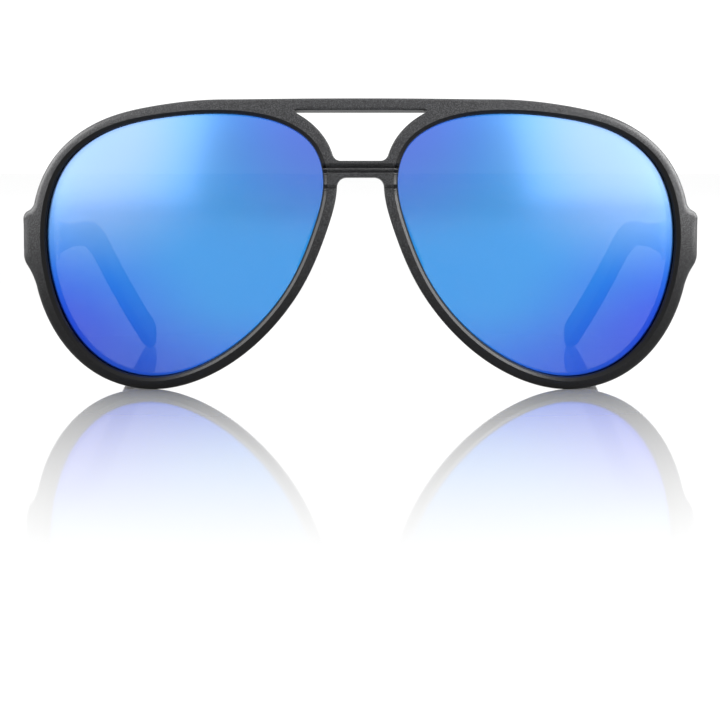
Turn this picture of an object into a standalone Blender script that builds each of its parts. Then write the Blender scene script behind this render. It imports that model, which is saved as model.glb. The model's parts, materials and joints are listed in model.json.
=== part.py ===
"""Wrap-front double-bridge sunglasses with folding temples.

One moulded front carries two mirror lenses in grooves, two soft nose pads and the front half of
each hinge. Each temple folds on a five-knuckle hinge and ends in a soft sleeve that hooks over
the ear. Sizes are in millimetres and meshes in metres. +X is the wearer's left, the front looks
along -Y, and the glasses stand on z = 0 on their two rims and two temple tips.
"""
import math

import bmesh
import bpy
import numpy as np
from mathutils import Matrix, Vector
from mathutils.geometry import delaunay_2d_cdt

MM = 0.001

# Clearances
GAP = 0.3                  # between pieces that touch or are fitted together
PIN_CLEARANCE = 0.25       # round a hinge or leaf screw in its hole

# Lenses
LENS_WIDTH = 61.9
LENS_HEIGHT = 58.1
LENS_THICKNESS = 1.8
BRIDGE = 16.1              # between the two lens openings
LENS_SHAPE = [             # (across from the nose, up from the bottom) as shares of the opening
    (0.000, 0.758), (0.038, 0.880), (0.130, 0.954), (0.325, 0.998), (0.585, 0.983),
    (0.778, 0.929), (0.925, 0.807), (0.993, 0.610), (0.986, 0.392), (0.908, 0.172),
    (0.778, 0.041), (0.608, 0.000), (0.416, 0.060), (0.235, 0.203), (0.113, 0.373),
    (0.032, 0.575)]

# Moulded front
RIM_BOTTOM = 2.6
RIM_WIDTHS = [             # (direction out of the lens in degrees, 0 to the temple, width)
    (-90, RIM_BOTTOM), (-55, 2.9), (-17, 3.5), (10, 3.3), (40, 2.7), (80, 2.6), (110, 3.6),
    (125, 3.35), (145, 2.95), (190, 3.05), (215, 2.75), (240, 2.9), (270, RIM_BOTTOM)]
RIM_DEPTH = 4.4
WRAP_RADIUS = 125.0        # of the front surface, either side of the flat bridge
FLAT_HALF_WIDTH = 8.5
TILT = math.radians(4.0)   # the front leans back at the bottom
BROW_RISE = 3.15           # top of the brow bar over the lens openings
BROW_HEIGHT = 2.6
STRAP_DROP = 10.35         # top of the lower bridge under the lens openings' tops
STRAP_HEIGHT = 3.55
EDGE_ROUND = 0.8           # moulded edges
LENS_BEVEL = 1.2           # slope from the front face down to the lens
LIP = 1.15                 # depth of the front lip over the lens groove
GROOVE_BITE = 0.85         # how far the groove reaches into the rim
ARCH_ROUND = 2.2
WINDOW_ROUND = 1.3

# Endpieces, where the front turns back towards the temples
TAB_REACH = 5.1            # beyond the lens opening
TAB_HEIGHT = 10.4
TAB_RISE = 1.4             # middle of the tab over the hinge
TAB_FLARE_TOP = 1.2
TAB_FLARE_BOTTOM = 3.8
TAB_ROUND = 1.2
LUG_WIDTH = 4.0
LUG_INSET = 0.3            # behind the tab's outer edge
HINGE_RISE = 0.45          # hinge over the middle of the lens

# Hinges
LEAF_HEIGHT = 8.0
LEAF_THICKNESS = 1.0
FRONT_LEAF_LENGTH = 3.6
TEMPLE_LEAF_LENGTH = 17.0
KNUCKLES = 5
KNUCKLE_RADIUS = 1.4
PIN_RADIUS = 0.6
PIN_HEAD_RADIUS = 1.1
PIN_HEAD_HEIGHT = 0.6
LEAF_SCREW_RADIUS = 0.5
LEAF_SCREW_LENGTH = 2.4
LEAF_SCREW_HEAD = 0.95
LEAF_SCREW_HEAD_HEIGHT = 0.4
FRONT_SCREW_SPREAD = 4.4   # between the two screws of a front leaf
TEMPLE_SCREW_INSET = 3.2   # from each end of the temple leaf's plate
SLOT_WIDTH = 0.3
SLOT_DEPTH = 0.22

# Temples
TEMPLE_ROOT_HEIGHT = 10.9
TEMPLE_SHOULDER_HEIGHT = 7.985
TEMPLE_WAIST_HEIGHT = 5.6
TEMPLE_BEND_HEIGHT = 6.1
TEMPLE_THICKNESS = 4.0
TEMPLE_WAIST_THICKNESS = 2.8
FLAT_LENGTH = 34.0         # of the straight, flat-sided root
WAIST_AT = 60.0            # along the temple
BEND_AT = 76.0
BEND_RADIUS = 34.0
HOOK_ANGLE = math.radians(33.0)
SLEEVE_MOUTH_HEIGHT = 7.6
HOOK_HEIGHT = 8.0
HOOK_THICKNESS = 3.2
HOOK_LEAN = 15.2           # how far the tip has come in towards the head
LEAN_POWER = 1.7           # the lean starts slowly and grows towards the tip
SLEEVE_AT = 90.0
TONGUE_LENGTH = 26.0
TONGUE_HEIGHT = 4.0
TONGUE_THICKNESS = 1.2
SECTION_ROUND = 1.1

# Nose pads
PAD_FROM = 25.0            # height of the pad's lower end
PAD_LENGTH = 14.0
PAD_THICKNESS = 1.3
PAD_WIDTH = 3.8
FLANGE_THICKNESS = 1.5

# Places that follow from the sizes
LENS_BOTTOM = RIM_BOTTOM
LENS_TOP = LENS_BOTTOM + LENS_HEIGHT
LENS_MIDDLE = LENS_BOTTOM + LENS_HEIGHT / 2
LENS_INNER = BRIDGE / 2
LENS_OUTER = LENS_INNER + LENS_WIDTH
HINGE_Z = LENS_MIDDLE + HINGE_RISE
TAB_X = LENS_OUTER + TAB_REACH
TAB_Z = HINGE_Z + TAB_RISE
BROW_TOP = LENS_TOP + BROW_RISE
STRAP_TOP = LENS_TOP - STRAP_DROP
STRAP_BOTTOM = STRAP_TOP - STRAP_HEIGHT


def front_depth(x, z):
    """How far the front surface lies behind its own vertical plane at (x, z)."""
    across = max(abs(x) - FLAT_HALF_WIDTH, 0.0)
    up = z - LENS_MIDDLE
    sag = WRAP_RADIUS - math.sqrt(WRAP_RADIUS ** 2 - across ** 2 - up ** 2)
    return sag - math.tan(TILT) * up


def shell_point(x, z, depth=0.0):
    """The point a given depth under the front surface, measured square to it."""
    step = 0.05
    slope_x = (front_depth(x + step, z) - front_depth(x - step, z)) / (2 * step)
    slope_z = (front_depth(x, z + step) - front_depth(x, z - step)) / (2 * step)
    normal = Vector((-slope_x, 1.0, -slope_z)).normalized()
    return Vector((x, front_depth(x, z), z)) + normal * depth


def rim_back(x, z):
    """How far back the rim's back surface lies at (x, z)."""
    start = x
    for _ in range(8):
        point = shell_point(start, z, RIM_DEPTH)
        start += x - point.x
    return point.y


LUG_OUTER = TAB_X - LUG_INSET
LUG_INNER = LUG_OUTER - LUG_WIDTH
LEAF_OUTER = LUG_INNER - GAP
PIVOT_X = LEAF_OUTER - KNUCKLE_RADIUS
FRONT_LEAF_END = rim_back(LUG_INNER, HINGE_Z) + GAP + FRONT_LEAF_LENGTH
JOINT_Y = FRONT_LEAF_END + GAP + KNUCKLE_RADIUS
TEMPLE_START = JOINT_Y + GAP


# ---------------------------------------------------------------- outlines in the (x, z) plane

def closed_spline(points, count):
    """Smooth closed curve through the points, as count points at equal spacing."""
    knots = np.array(points, float)
    ahead = np.roll(knots, -1, axis=0)
    chord = np.linalg.norm(ahead - knots, axis=1)
    behind = np.roll(chord, 1)
    size = len(knots)
    system = np.zeros((size, size))
    for i in range(size):
        system[i, i - 1] += behind[i]
        system[i, i] += 2 * (behind[i] + chord[i])
        system[i, (i + 1) % size] += chord[i]
    rates = (ahead - knots) / chord[:, None]
    bend = np.linalg.solve(system, 6 * (rates - np.roll(rates, 1, axis=0)))
    bend_ahead = np.roll(bend, -1, axis=0)
    curve = []
    for i in range(size):
        for t in np.linspace(0, chord[i], 40, endpoint=False):
            left, right = chord[i] - t, t
            curve.append(
                (bend[i] * left ** 3 + bend_ahead[i] * right ** 3) / (6 * chord[i])
                + (knots[i] / chord[i] - bend[i] * chord[i] / 6) * left
                + (ahead[i] / chord[i] - bend_ahead[i] * chord[i] / 6) * right)
    return evenly(np.array(curve), count, closed=True)


def evenly(path, count, closed=False):
    """The path again, as count points at equal spacing."""
    if closed:
        path = np.vstack([path, path[:1]])
    steps = np.linalg.norm(np.diff(path, axis=0), axis=1)
    along = np.concatenate([[0.0], np.cumsum(steps)])
    at = np.linspace(0, along[-1], count, endpoint=not closed)
    return np.column_stack([np.interp(at, along, path[:, k]) for k in range(path.shape[1])])


def bezier(start, start_handle, end_handle, end, count=24):
    t = np.linspace(0, 1, count)[:, None]
    return ((1 - t) ** 3 * np.array(start) + 3 * (1 - t) ** 2 * t * np.array(start_handle)
            + 3 * (1 - t) * t ** 2 * np.array(end_handle) + t ** 3 * np.array(end))


def trimmed(path, length):
    """The path without its first stretch of the given length."""
    steps = np.linalg.norm(np.diff(path, axis=0), axis=1)
    along = np.concatenate([[0.0], np.cumsum(steps)])
    length = min(length, along[-1] * 0.45)
    start = [np.interp(length, along, path[:, k]) for k in range(2)]
    return np.vstack([start, path[along > length + 1e-6]])


def rounded_path(stretches, setbacks):
    """One path through stretches that meet at corners, each rounded from its setback."""
    path = stretches[0]
    for stretch, setback in zip(stretches[1:], setbacks):
        corner = stretch[0]
        before = trimmed(path[::-1], setback)[::-1]
        after = trimmed(stretch, setback)
        arc = bezier(before[-1], before[-1] + 0.6 * (corner - before[-1]),
                     after[0] + 0.6 * (corner - after[0]), after[0])
        path = np.vstack([before, arc[1:-1], after])
    return path


def outward_normals(loop):
    """Unit normals of a loop that runs clockwise, seen from the front."""
    tangent = np.roll(loop, -1, axis=0) - np.roll(loop, 1, axis=0)
    tangent /= np.linalg.norm(tangent, axis=1)[:, None]
    return np.column_stack([-tangent[:, 1], tangent[:, 0]])


def thinned(loop, tolerance, longest):
    """Points of a dense closed loop that keep its shape, each with its outward normal."""
    normals = outward_normals(loop)
    kept = [0]
    for i in range(2, len(loop)):
        start = loop[kept[-1]]
        chord = loop[i] - start
        reach = np.linalg.norm(chord)
        between = loop[kept[-1] + 1:i] - start
        off = np.abs(between[:, 0] * chord[1] - between[:, 1] * chord[0]) / max(reach, 1e-9)
        if reach > longest or off.max() > tolerance:
            kept.append(i - 1)
    return np.hstack([loop, normals])[kept]


def mirrored(loop):
    """A loop on the other side of the middle, still clockwise, with its normals."""
    return loop[::-1] * np.array([-1, 1, -1, 1])


def both_halves(half):
    """Closed loop from a half that runs from x = 0 on the +X side back to x = 0."""
    return np.vstack([half, half[-2:0:-1] * np.array([-1, 1])])


LENS_LOOP = closed_spline(LENS_SHAPE, 720)
LENS_LOOP -= LENS_LOOP.min(axis=0)
LENS_LOOP /= LENS_LOOP.max(axis=0)
LENS_LOOP = LENS_LOOP * [LENS_WIDTH, LENS_HEIGHT] + [LENS_INNER, LENS_BOTTOM]


def rim_loop():
    """Outer edge of the rim round one lens, from its top and clockwise."""
    normals = outward_normals(LENS_LOOP)
    direction = np.degrees(np.arctan2(normals[:, 1], normals[:, 0]))
    directions, widths = zip(*RIM_WIDTHS)
    width = np.interp(direction, directions, widths, period=360)
    rim = LENS_LOOP + normals * width[:, None]
    return np.roll(rim, -int(rim[:, 1].argmax()), axis=0)


def front_outline():
    """Outer edge of the whole front, dense, clockwise from the middle of the brow."""
    rim = rim_loop()
    lowest = int(rim[:, 1].argmin())
    down, up = rim[:lowest + 1], rim[lowest:]
    tab_top, tab_bottom = TAB_Z + TAB_HEIGHT / 2, TAB_Z - TAB_HEIGHT / 2
    top = rim[0]
    brow = bezier((0, BROW_TOP), (top[0] * 0.5, BROW_TOP), (top[0] * 0.7, top[1]), top, 60)
    upper_rim = down[down[:, 1] > tab_top + TAB_FLARE_TOP]
    lower_rim = np.vstack([down[down[:, 1] < tab_bottom - TAB_FLARE_BOTTOM],
                           up[up[:, 1] < STRAP_BOTTOM][1:]])
    outer_top, outer_bottom = np.array([TAB_X, tab_top]), np.array([TAB_X, tab_bottom])
    arch = np.array([lower_rim[-1][0], STRAP_BOTTOM])
    half = rounded_path(
        [np.vstack([brow[:-1], upper_rim]),
         evenly(np.array([upper_rim[-1], outer_top]), 20),
         evenly(np.array([outer_top, outer_bottom]), 60),
         evenly(np.array([outer_bottom, lower_rim[0]]), 30),
         lower_rim,
         evenly(np.array([arch, [0, STRAP_BOTTOM]]), 40)],
        [TAB_ROUND, TAB_ROUND, TAB_ROUND, 2 * TAB_ROUND, ARCH_ROUND])
    return both_halves(half)


def window_outline():
    """The window between the brow bar and the lower bridge, dense and clockwise."""
    rim = rim_loop()
    lowest = int(rim[:, 1].argmin())
    brow_bottom = BROW_TOP - BROW_HEIGHT
    side = rim[lowest:]
    side = side[(side[:, 1] > STRAP_TOP) & (side[:, 1] < brow_bottom)
                & (side[:, 0] < LENS_INNER + LENS_WIDTH / 2)][::-1]
    corner = np.array([side[0][0], brow_bottom])
    foot = np.array([side[-1][0], STRAP_TOP])
    half = rounded_path(
        [evenly(np.array([[0, brow_bottom], corner]), 60), side,
         evenly(np.array([foot, [0, STRAP_TOP]]), 40)],
        [WINDOW_ROUND, WINDOW_ROUND])
    return both_halves(half)


# ---------------------------------------------------------------- meshes

def fillet(radius, count=3):
    """(inset, depth) pairs of a quarter round, from the face to the wall."""
    angles = np.linspace(0, math.pi / 2, count)
    return [(radius * (1 - math.sin(a)), radius * (1 - math.cos(a))) for a in angles]


def add_rings(bm, loop, section, into):
    """Rings of vertices along a loop. into is +1 to inset towards the normal, else -1."""
    rings = []
    for inset, depth in section:
        ring = []
        for x, z, normal_x, normal_z in loop:
            point = shell_point(x + into * inset * normal_x, z + into * inset * normal_z, depth)
            ring.append(bm.verts.new(point))
        rings.append(ring)
    join_rings(bm, rings)
    return rings


def join_rings(bm, rings):
    for lower, upper in zip(rings, rings[1:]):
        for i in range(len(lower)):
            j = (i + 1) % len(lower)
            bm.faces.new((lower[i], lower[j], upper[j], upper[i]))


def inside(point, loop):
    """Whether a plan point lies inside a loop of plan points."""
    odd = False
    for (ax, az), (bx, bz) in zip(loop, loop[1:] + loop[:1]):
        if (az > point[1]) != (bz > point[1]):
            if point[0] < (bx - ax) * (point[1] - az) / (bz - az) + ax:
                odd = not odd
    return odd


def fill_between(bm, rings, extra=()):
    """Faces between nested rings, the first of them the outer one."""
    verts = [v for ring in rings for v in ring] + list(extra)
    flat = [v.co.xz for v in verts]
    edges, loops, start = [], [], 0
    for ring in rings:
        size = len(ring)
        edges += [(start + i, start + (i + 1) % size) for i in range(size)]
        loops.append([tuple(flat[start + i]) for i in range(size)])
        start += size
    _, _, faces, origin, _, _ = delaunay_2d_cdt(flat, edges, [], 0, 1e-6)
    for face in faces:
        corners = [origin[i][0] for i in face]
        middle = sum((flat[i] for i in corners), Vector((0, 0))) / 3
        if inside(middle, loops[0]) and not any(inside(middle, hole) for hole in loops[1:]):
            bm.faces.new([verts[i] for i in corners])


def rounded_rectangle(width, height, radius, steps=3):
    """(across, up) points of a rectangle with round corners, centred, as a closed ring."""
    radius = min(radius, 0.49 * width, 0.49 * height)
    points = []
    for quarter, (side, top) in enumerate([(1, 1), (-1, 1), (-1, -1), (1, -1)]):
        centre = (side * (width / 2 - radius), top * (height / 2 - radius))
        for k in range(steps + 1):
            angle = math.pi / 2 * (quarter + k / steps)
            points.append((centre[0] + radius * math.cos(angle),
                           centre[1] + radius * math.sin(angle)))
    return points


def lofted(sections):
    """Closed mesh through rings of points, one after another."""
    bm = bmesh.new()
    rings = [[bm.verts.new(point) for point in section] for section in sections]
    join_rings(bm, rings)
    bm.faces.new(rings[0])
    bm.faces.new(rings[-1])
    return finished(bm)


def turned(profile, sides, axis, place):
    """Closed mesh turned round an axis from (radius, along) pairs, both ends flat."""
    bm = bmesh.new()
    rings = []
    for radius, along in profile:
        ring = []
        for k in range(sides):
            angle = 2 * math.pi * (k + 0.5) / sides
            ring.append(bm.verts.new((radius * math.cos(angle), radius * math.sin(angle), along)))
        rings.append(ring)
    join_rings(bm, rings)
    bm.faces.new(rings[0])
    bm.faces.new(rings[-1])
    turn = Vector((0, 0, 1)).rotation_difference(Vector(axis)).to_matrix().to_4x4()
    bm.transform(Matrix.Translation(place) @ turn)
    return finished(bm)


def box(low, high):
    bm = bmesh.new()
    bmesh.ops.create_cube(bm, size=1.0)
    for vert in bm.verts:
        for k in range(3):
            vert.co[k] = low[k] if vert.co[k] < 0 else high[k]
    return finished(bm)


def finished(bm):
    """A mesh with every face looking out."""
    bmesh.ops.recalc_face_normals(bm, faces=bm.faces)
    if bm.calc_volume(signed=True) < 0:
        bmesh.ops.reverse_faces(bm, faces=bm.faces)
    mesh = bpy.data.meshes.new("piece")
    bm.to_mesh(mesh)
    bm.free()
    return mesh


def combined(base, tools, operation):
    """The base mesh joined with, or cut by, the tool meshes."""
    body = bpy.data.objects.new("base", base)
    bpy.context.scene.collection.objects.link(body)
    helpers = []
    for mesh in tools:
        helper = bpy.data.objects.new("tool", mesh)
        helper.hide_render = True
        helper.display_type = "WIRE"
        bpy.context.scene.collection.objects.link(helper)
        boolean = body.modifiers.new("boolean", "BOOLEAN")
        boolean.operation = operation
        boolean.solver = "EXACT"
        boolean.object = helper
        helpers.append(helper)
    graph = bpy.context.evaluated_depsgraph_get()
    result = bpy.data.meshes.new_from_object(body.evaluated_get(graph))
    for obj in helpers + [body]:
        bpy.data.objects.remove(obj)
    return result


def flipped(mesh):
    """A mirror image of a mesh across x = 0."""
    bm = bmesh.new()
    bm.from_mesh(mesh)
    bm.transform(Matrix.Diagonal((-1, 1, 1, 1)))
    return finished(bm)


# ---------------------------------------------------------------- pieces, on the +X side

def lug_mesh():
    """The endpiece behind the rim, from just under the tab's face back to the joint."""
    skin = 0.1
    tab_top, tab_bottom = TAB_Z + TAB_HEIGHT / 2, TAB_Z - TAB_HEIGHT / 2
    front = [(TAB_X - skin, tab_top - skin), (LUG_INNER + EDGE_ROUND, tab_top + TAB_FLARE_TOP),
             (LUG_INNER + EDGE_ROUND, tab_bottom - TAB_FLARE_BOTTOM),
             (TAB_X - skin, tab_bottom + skin)]
    half_root = TEMPLE_ROOT_HEIGHT / 2
    back = [(LUG_OUTER, HINGE_Z + half_root), (LUG_INNER, HINGE_Z + half_root),
            (LUG_INNER, HINGE_Z - half_root), (LUG_OUTER, HINGE_Z - half_root)]
    front_ring = [shell_point(x, z, EDGE_ROUND) for x, z in rounded_quad(front, SECTION_ROUND)]
    back_ring = [Vector((x, JOINT_Y, z)) for x, z in rounded_quad(back, SECTION_ROUND)]
    return lofted([front_ring, back_ring])


def rounded_quad(corners, radius, steps=3):
    """A four-cornered ring with round corners."""
    points = []
    for i in range(4):
        corner = np.array(corners[i])
        before = np.array(corners[i - 1]) - corner
        after = np.array(corners[(i + 1) % 4]) - corner
        start = corner + before / np.linalg.norm(before) * radius
        end = corner + after / np.linalg.norm(after) * radius
        points += list(bezier(start, start + 0.6 * (corner - start),
                              end + 0.6 * (corner - end), end, steps + 1))
    return points


def nose_edge():
    """Rim points beside the nose pad, from its lower end up: (x, z, normal x, normal z)."""
    rim = rim_loop()
    rim = np.hstack([rim, outward_normals(rim)])
    lowest = int(rim[:, 1].argmin())
    side = rim[lowest:]
    return side[(side[:, 1] > PAD_FROM) & (side[:, 1] < PAD_FROM + PAD_LENGTH)]


def along_nose(inset, width, deep_from, deep_to, stations, taper):
    """Closed strip that follows the nose side of the rim behind it."""
    edge = nose_edge()
    sections = []
    for t in np.linspace(0, 1, stations):
        x, z, normal_x, normal_z = [np.interp(t * (len(edge) - 1), range(len(edge)), edge[:, k])
                                    for k in range(4)]
        size = max(1 - abs(2 * t - 1) ** 3 * taper, 0.05)
        middle = (deep_from + deep_to) / 2
        section = []
        for across, deep in rounded_rectangle(width * size, (deep_to - deep_from) * size, 0.6):
            away = inset + width / 2 + across
            section.append(shell_point(x - away * normal_x, z - away * normal_z, middle + deep))
        sections.append(section)
    return lofted(sections)


def nose_pad_mesh():
    back = RIM_DEPTH + GAP
    return along_nose(GAP, PAD_THICKNESS, back, back + PAD_WIDTH, 13, 0.75)


def nose_flange_mesh():
    """Moulded web behind the rim that the nose pad is bonded to."""
    inset = PAD_THICKNESS + 2 * GAP
    return along_nose(inset, FLANGE_THICKNESS, RIM_DEPTH - 0.5, RIM_DEPTH + PAD_WIDTH, 9, 0.35)


def lens_mesh():
    """A lens blank cut to the groove, curved like the front."""
    bm = bmesh.new()
    loop = thinned(LENS_LOOP, 0.03, 3.0)
    grown = GROOVE_BITE - GAP
    front = LIP + GAP
    rings = add_rings(bm, loop, [(grown, front), (grown, front + LENS_THICKNESS)], 1)
    border = [tuple(p) for p in loop[:, :2]]
    spacing = 7.0
    for ring, depth in zip(rings, (front, front + LENS_THICKNESS)):
        extra = []
        for x in np.arange(LENS_INNER, LENS_OUTER, spacing):
            for z in np.arange(LENS_BOTTOM, LENS_TOP, spacing):
                near = np.min(np.linalg.norm(loop[:, :2] - [x, z], axis=1))
                if near > spacing / 2 and inside((x, z), border):
                    extra.append(bm.verts.new(shell_point(x, z, depth)))
        fill_between(bm, [ring], extra=extra)
    return finished(bm)


def screw_hole(place, axis, length):
    radius = LEAF_SCREW_RADIUS + PIN_CLEARANCE
    return turned([(radius, -length), (radius, length)], 12, axis, place)


def front_screw_places():
    y = FRONT_LEAF_END - FRONT_LEAF_LENGTH / 2
    return [Vector((LEAF_OUTER, y, HINGE_Z + side * FRONT_SCREW_SPREAD / 2)) for side in (1, -1)]


def temple_leaf_start():
    return JOINT_Y + KNUCKLE_RADIUS + GAP


def temple_screw_places():
    start = temple_leaf_start()
    end = start + TEMPLE_LEAF_LENGTH
    return [Vector((LEAF_OUTER, y, HINGE_Z))
            for y in (start + TEMPLE_SCREW_INSET, end - TEMPLE_SCREW_INSET)]


def front_mesh():
    """The one-piece front: two rims, brow bar, lower bridge, endpieces and nose flanges."""
    bm = bmesh.new()
    edge_front = fillet(EDGE_ROUND)
    edge_back = [(inset, RIM_DEPTH - depth) for inset, depth in reversed(edge_front)]
    groove_back = LIP + LENS_THICKNESS + 2 * GAP
    ease, nose, back_slope = 0.15, 0.25, 0.35
    lens_section = [(LENS_BEVEL, 0.0), (LENS_BEVEL - ease, 0.06), (ease, LIP - nose), (0.0, LIP),
                    (GROOVE_BITE, LIP), (GROOVE_BITE, groove_back), (0.0, groove_back),
                    (back_slope, RIM_DEPTH)]
    outer = thinned(front_outline(), 0.03, 3.0)
    window = thinned(window_outline(), 0.03, 3.0)
    lens = thinned(LENS_LOOP, 0.03, 3.0)
    edges = [add_rings(bm, outer, edge_front + edge_back, -1),
             add_rings(bm, window, edge_front + edge_back, 1),
             add_rings(bm, lens, lens_section, 1),
             add_rings(bm, mirrored(lens), lens_section, 1)]
    fill_between(bm, [rings[0] for rings in edges])
    fill_between(bm, [rings[-1] for rings in edges])
    slab = finished(bm)
    added = [lug_mesh(), nose_flange_mesh()]
    added += [flipped(mesh) for mesh in added]
    whole = combined(slab, added, "UNION")
    depth = LEAF_SCREW_LENGTH + GAP
    holes = [screw_hole(place, (1, 0, 0), depth) for place in front_screw_places()]
    holes += [flipped(mesh) for mesh in holes]
    return combined(whole, holes, "DIFFERENCE")


def knuckle_spans():
    """Bottom and top of each knuckle, lowest first."""
    height = (LEAF_HEIGHT - (KNUCKLES - 1) * GAP) / KNUCKLES
    bottom = HINGE_Z - LEAF_HEIGHT / 2
    return [(bottom + i * (height + GAP), bottom + i * (height + GAP) + height)
            for i in range(KNUCKLES)]


def leaf_mesh(plate_from, plate_to, spans, screws):
    """A hinge leaf: a plate, a web to each of its knuckles, and the knuckles on the pivot."""
    inner = LEAF_OUTER - LEAF_THICKNESS
    overlap, skin = 0.5, 0.02
    bottom, top = HINGE_Z - LEAF_HEIGHT / 2, HINGE_Z + LEAF_HEIGHT / 2
    plate = box((inner, plate_from, bottom), (LEAF_OUTER, plate_to, top))
    near = plate_to if plate_to < JOINT_Y else plate_from
    root = near + overlap if near > JOINT_Y else near - overlap
    parts = []
    for low, high in spans:
        ends = sorted((JOINT_Y, root))
        parts.append(box((inner, ends[0], low), (LEAF_OUTER - skin, ends[1], high)))
        parts.append(turned([(KNUCKLE_RADIUS, low), (KNUCKLE_RADIUS, high)], 24, (0, 0, 1),
                            (PIVOT_X, JOINT_Y, 0)))
    whole = combined(plate, parts, "UNION")
    bore = PIN_RADIUS + PIN_CLEARANCE
    bore_profile = [(bore, bottom - 1), (bore, top + 1)]
    cuts = [turned(bore_profile, 16, (0, 0, 1), (PIVOT_X, JOINT_Y, 0))]
    cuts += [screw_hole(place, (1, 0, 0), 2 * LEAF_THICKNESS) for place in screws]
    return combined(whole, cuts, "DIFFERENCE")


def front_leaf_mesh():
    return leaf_mesh(FRONT_LEAF_END - FRONT_LEAF_LENGTH, FRONT_LEAF_END, knuckle_spans()[0::2],
                     front_screw_places())


def temple_leaf_mesh():
    near = temple_leaf_start()
    return leaf_mesh(near, near + TEMPLE_LEAF_LENGTH, knuckle_spans()[1::2],
                     temple_screw_places())


def hinge_screw_mesh():
    bottom, top = HINGE_Z - LEAF_HEIGHT / 2, HINGE_Z + LEAF_HEIGHT / 2 + GAP
    head_top = top + PIN_HEAD_HEIGHT
    soft = 0.2
    screw = turned([(PIN_RADIUS, bottom), (PIN_RADIUS, top), (PIN_HEAD_RADIUS, top),
                    (PIN_HEAD_RADIUS, head_top - soft), (PIN_HEAD_RADIUS - soft, head_top)],
                   16, (0, 0, 1), (PIVOT_X, JOINT_Y, 0))
    slot = box((PIVOT_X - 2 * PIN_HEAD_RADIUS, JOINT_Y - SLOT_WIDTH / 2, head_top - SLOT_DEPTH),
               (PIVOT_X + 2 * PIN_HEAD_RADIUS, JOINT_Y + SLOT_WIDTH / 2, head_top + 1))
    return combined(screw, [slot], "DIFFERENCE")


def leaf_screw_mesh(place):
    """Pan-head screw through a leaf, its head on the inner side."""
    seat = place - Vector((LEAF_THICKNESS + GAP, 0, 0))
    soft = 0.15
    head = LEAF_SCREW_HEAD_HEIGHT
    reach = LEAF_THICKNESS + GAP + LEAF_SCREW_LENGTH - GAP
    screw = turned([(LEAF_SCREW_HEAD - soft, -head), (LEAF_SCREW_HEAD, soft - head),
                    (LEAF_SCREW_HEAD, 0), (LEAF_SCREW_RADIUS, 0), (LEAF_SCREW_RADIUS, reach)],
                   12, (1, 0, 0), seat)
    slot = box(seat - Vector((head + 1, SLOT_WIDTH / 2, 2 * LEAF_SCREW_HEAD)),
               seat - Vector((head - SLOT_DEPTH, -SLOT_WIDTH / 2, -2 * LEAF_SCREW_HEAD)))
    return combined(screw, [slot], "DIFFERENCE")


def rest_height():
    """Height of the rim's lowest point, where its rounded front edge meets its wall."""
    rim = rim_loop()
    x, z = rim[int(rim[:, 1].argmin())]
    return shell_point(x, z, EDGE_ROUND).z


def temple_end():
    """Length along the temple to the middle of its round end, which stands as low as the rim."""
    arc_drop = BEND_RADIUS * (1 - math.cos(HOOK_ANGLE))
    drop = HINGE_Z - REST_Z - HOOK_HEIGHT / 2 - arc_drop
    return BEND_AT + BEND_RADIUS * HOOK_ANGLE + drop / math.sin(HOOK_ANGLE)


REST_Z = rest_height()


def temple_axis(s):
    """Middle of the temple at length s, and the direction up across it."""
    pitch = min(max(s - BEND_AT, 0) / BEND_RADIUS, HOOK_ANGLE)
    straight = min(s, BEND_AT)
    hook = max(s - BEND_AT - BEND_RADIUS * HOOK_ANGLE, 0)
    y = straight + BEND_RADIUS * math.sin(pitch) + hook * math.cos(HOOK_ANGLE)
    z = BEND_RADIUS * (1 - math.cos(pitch)) + hook * math.sin(HOOK_ANGLE)
    lean = max(s - FLAT_LENGTH, 0) / (temple_end() - FLAT_LENGTH)
    x = LUG_OUTER - TEMPLE_THICKNESS / 2 - HOOK_LEAN * lean ** LEAN_POWER
    return Vector((x, TEMPLE_START + y, HINGE_Z - z)), Vector((0, math.sin(pitch), math.cos(pitch)))


def temple_size(s):
    """Thickness and height of the temple at length s."""
    stations = [0, FLAT_LENGTH, WAIST_AT, BEND_AT, SLEEVE_AT, temple_end()]
    heights = [TEMPLE_ROOT_HEIGHT, TEMPLE_SHOULDER_HEIGHT, TEMPLE_WAIST_HEIGHT,
               TEMPLE_BEND_HEIGHT, SLEEVE_MOUTH_HEIGHT, HOOK_HEIGHT]
    thickness = [TEMPLE_THICKNESS, TEMPLE_THICKNESS, TEMPLE_WAIST_THICKNESS,
                 TEMPLE_WAIST_THICKNESS, HOOK_THICKNESS, HOOK_THICKNESS]
    return np.interp(s, stations, thickness), np.interp(s, stations, heights)


def temple_ring(s, thickness, height, radius=SECTION_ROUND):
    middle, up = temple_axis(s)
    return [middle + Vector((across, 0, 0)) + up * rise
            for across, rise in rounded_rectangle(thickness, height, radius)]


def temple_mesh():
    """Temple with the thin tongue that its sleeve is pushed over, and its leaf screw holes."""
    body_end = SLEEVE_AT - GAP
    stations = [0, FLAT_LENGTH / 2, *np.arange(FLAT_LENGTH, BEND_AT, 7),
                *np.arange(BEND_AT, body_end, 3.5), body_end]
    sections = [temple_ring(s, *temple_size(s)) for s in stations]
    for s in np.linspace(body_end, SLEEVE_AT + TONGUE_LENGTH, 8):
        sections.append(temple_ring(s, TONGUE_THICKNESS, TONGUE_HEIGHT, TONGUE_THICKNESS / 4))
    temple = lofted(sections)
    depth = LEAF_SCREW_LENGTH + GAP
    holes = [screw_hole(place, (1, 0, 0), depth) for place in temple_screw_places()]
    return combined(temple, holes, "DIFFERENCE")


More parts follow.
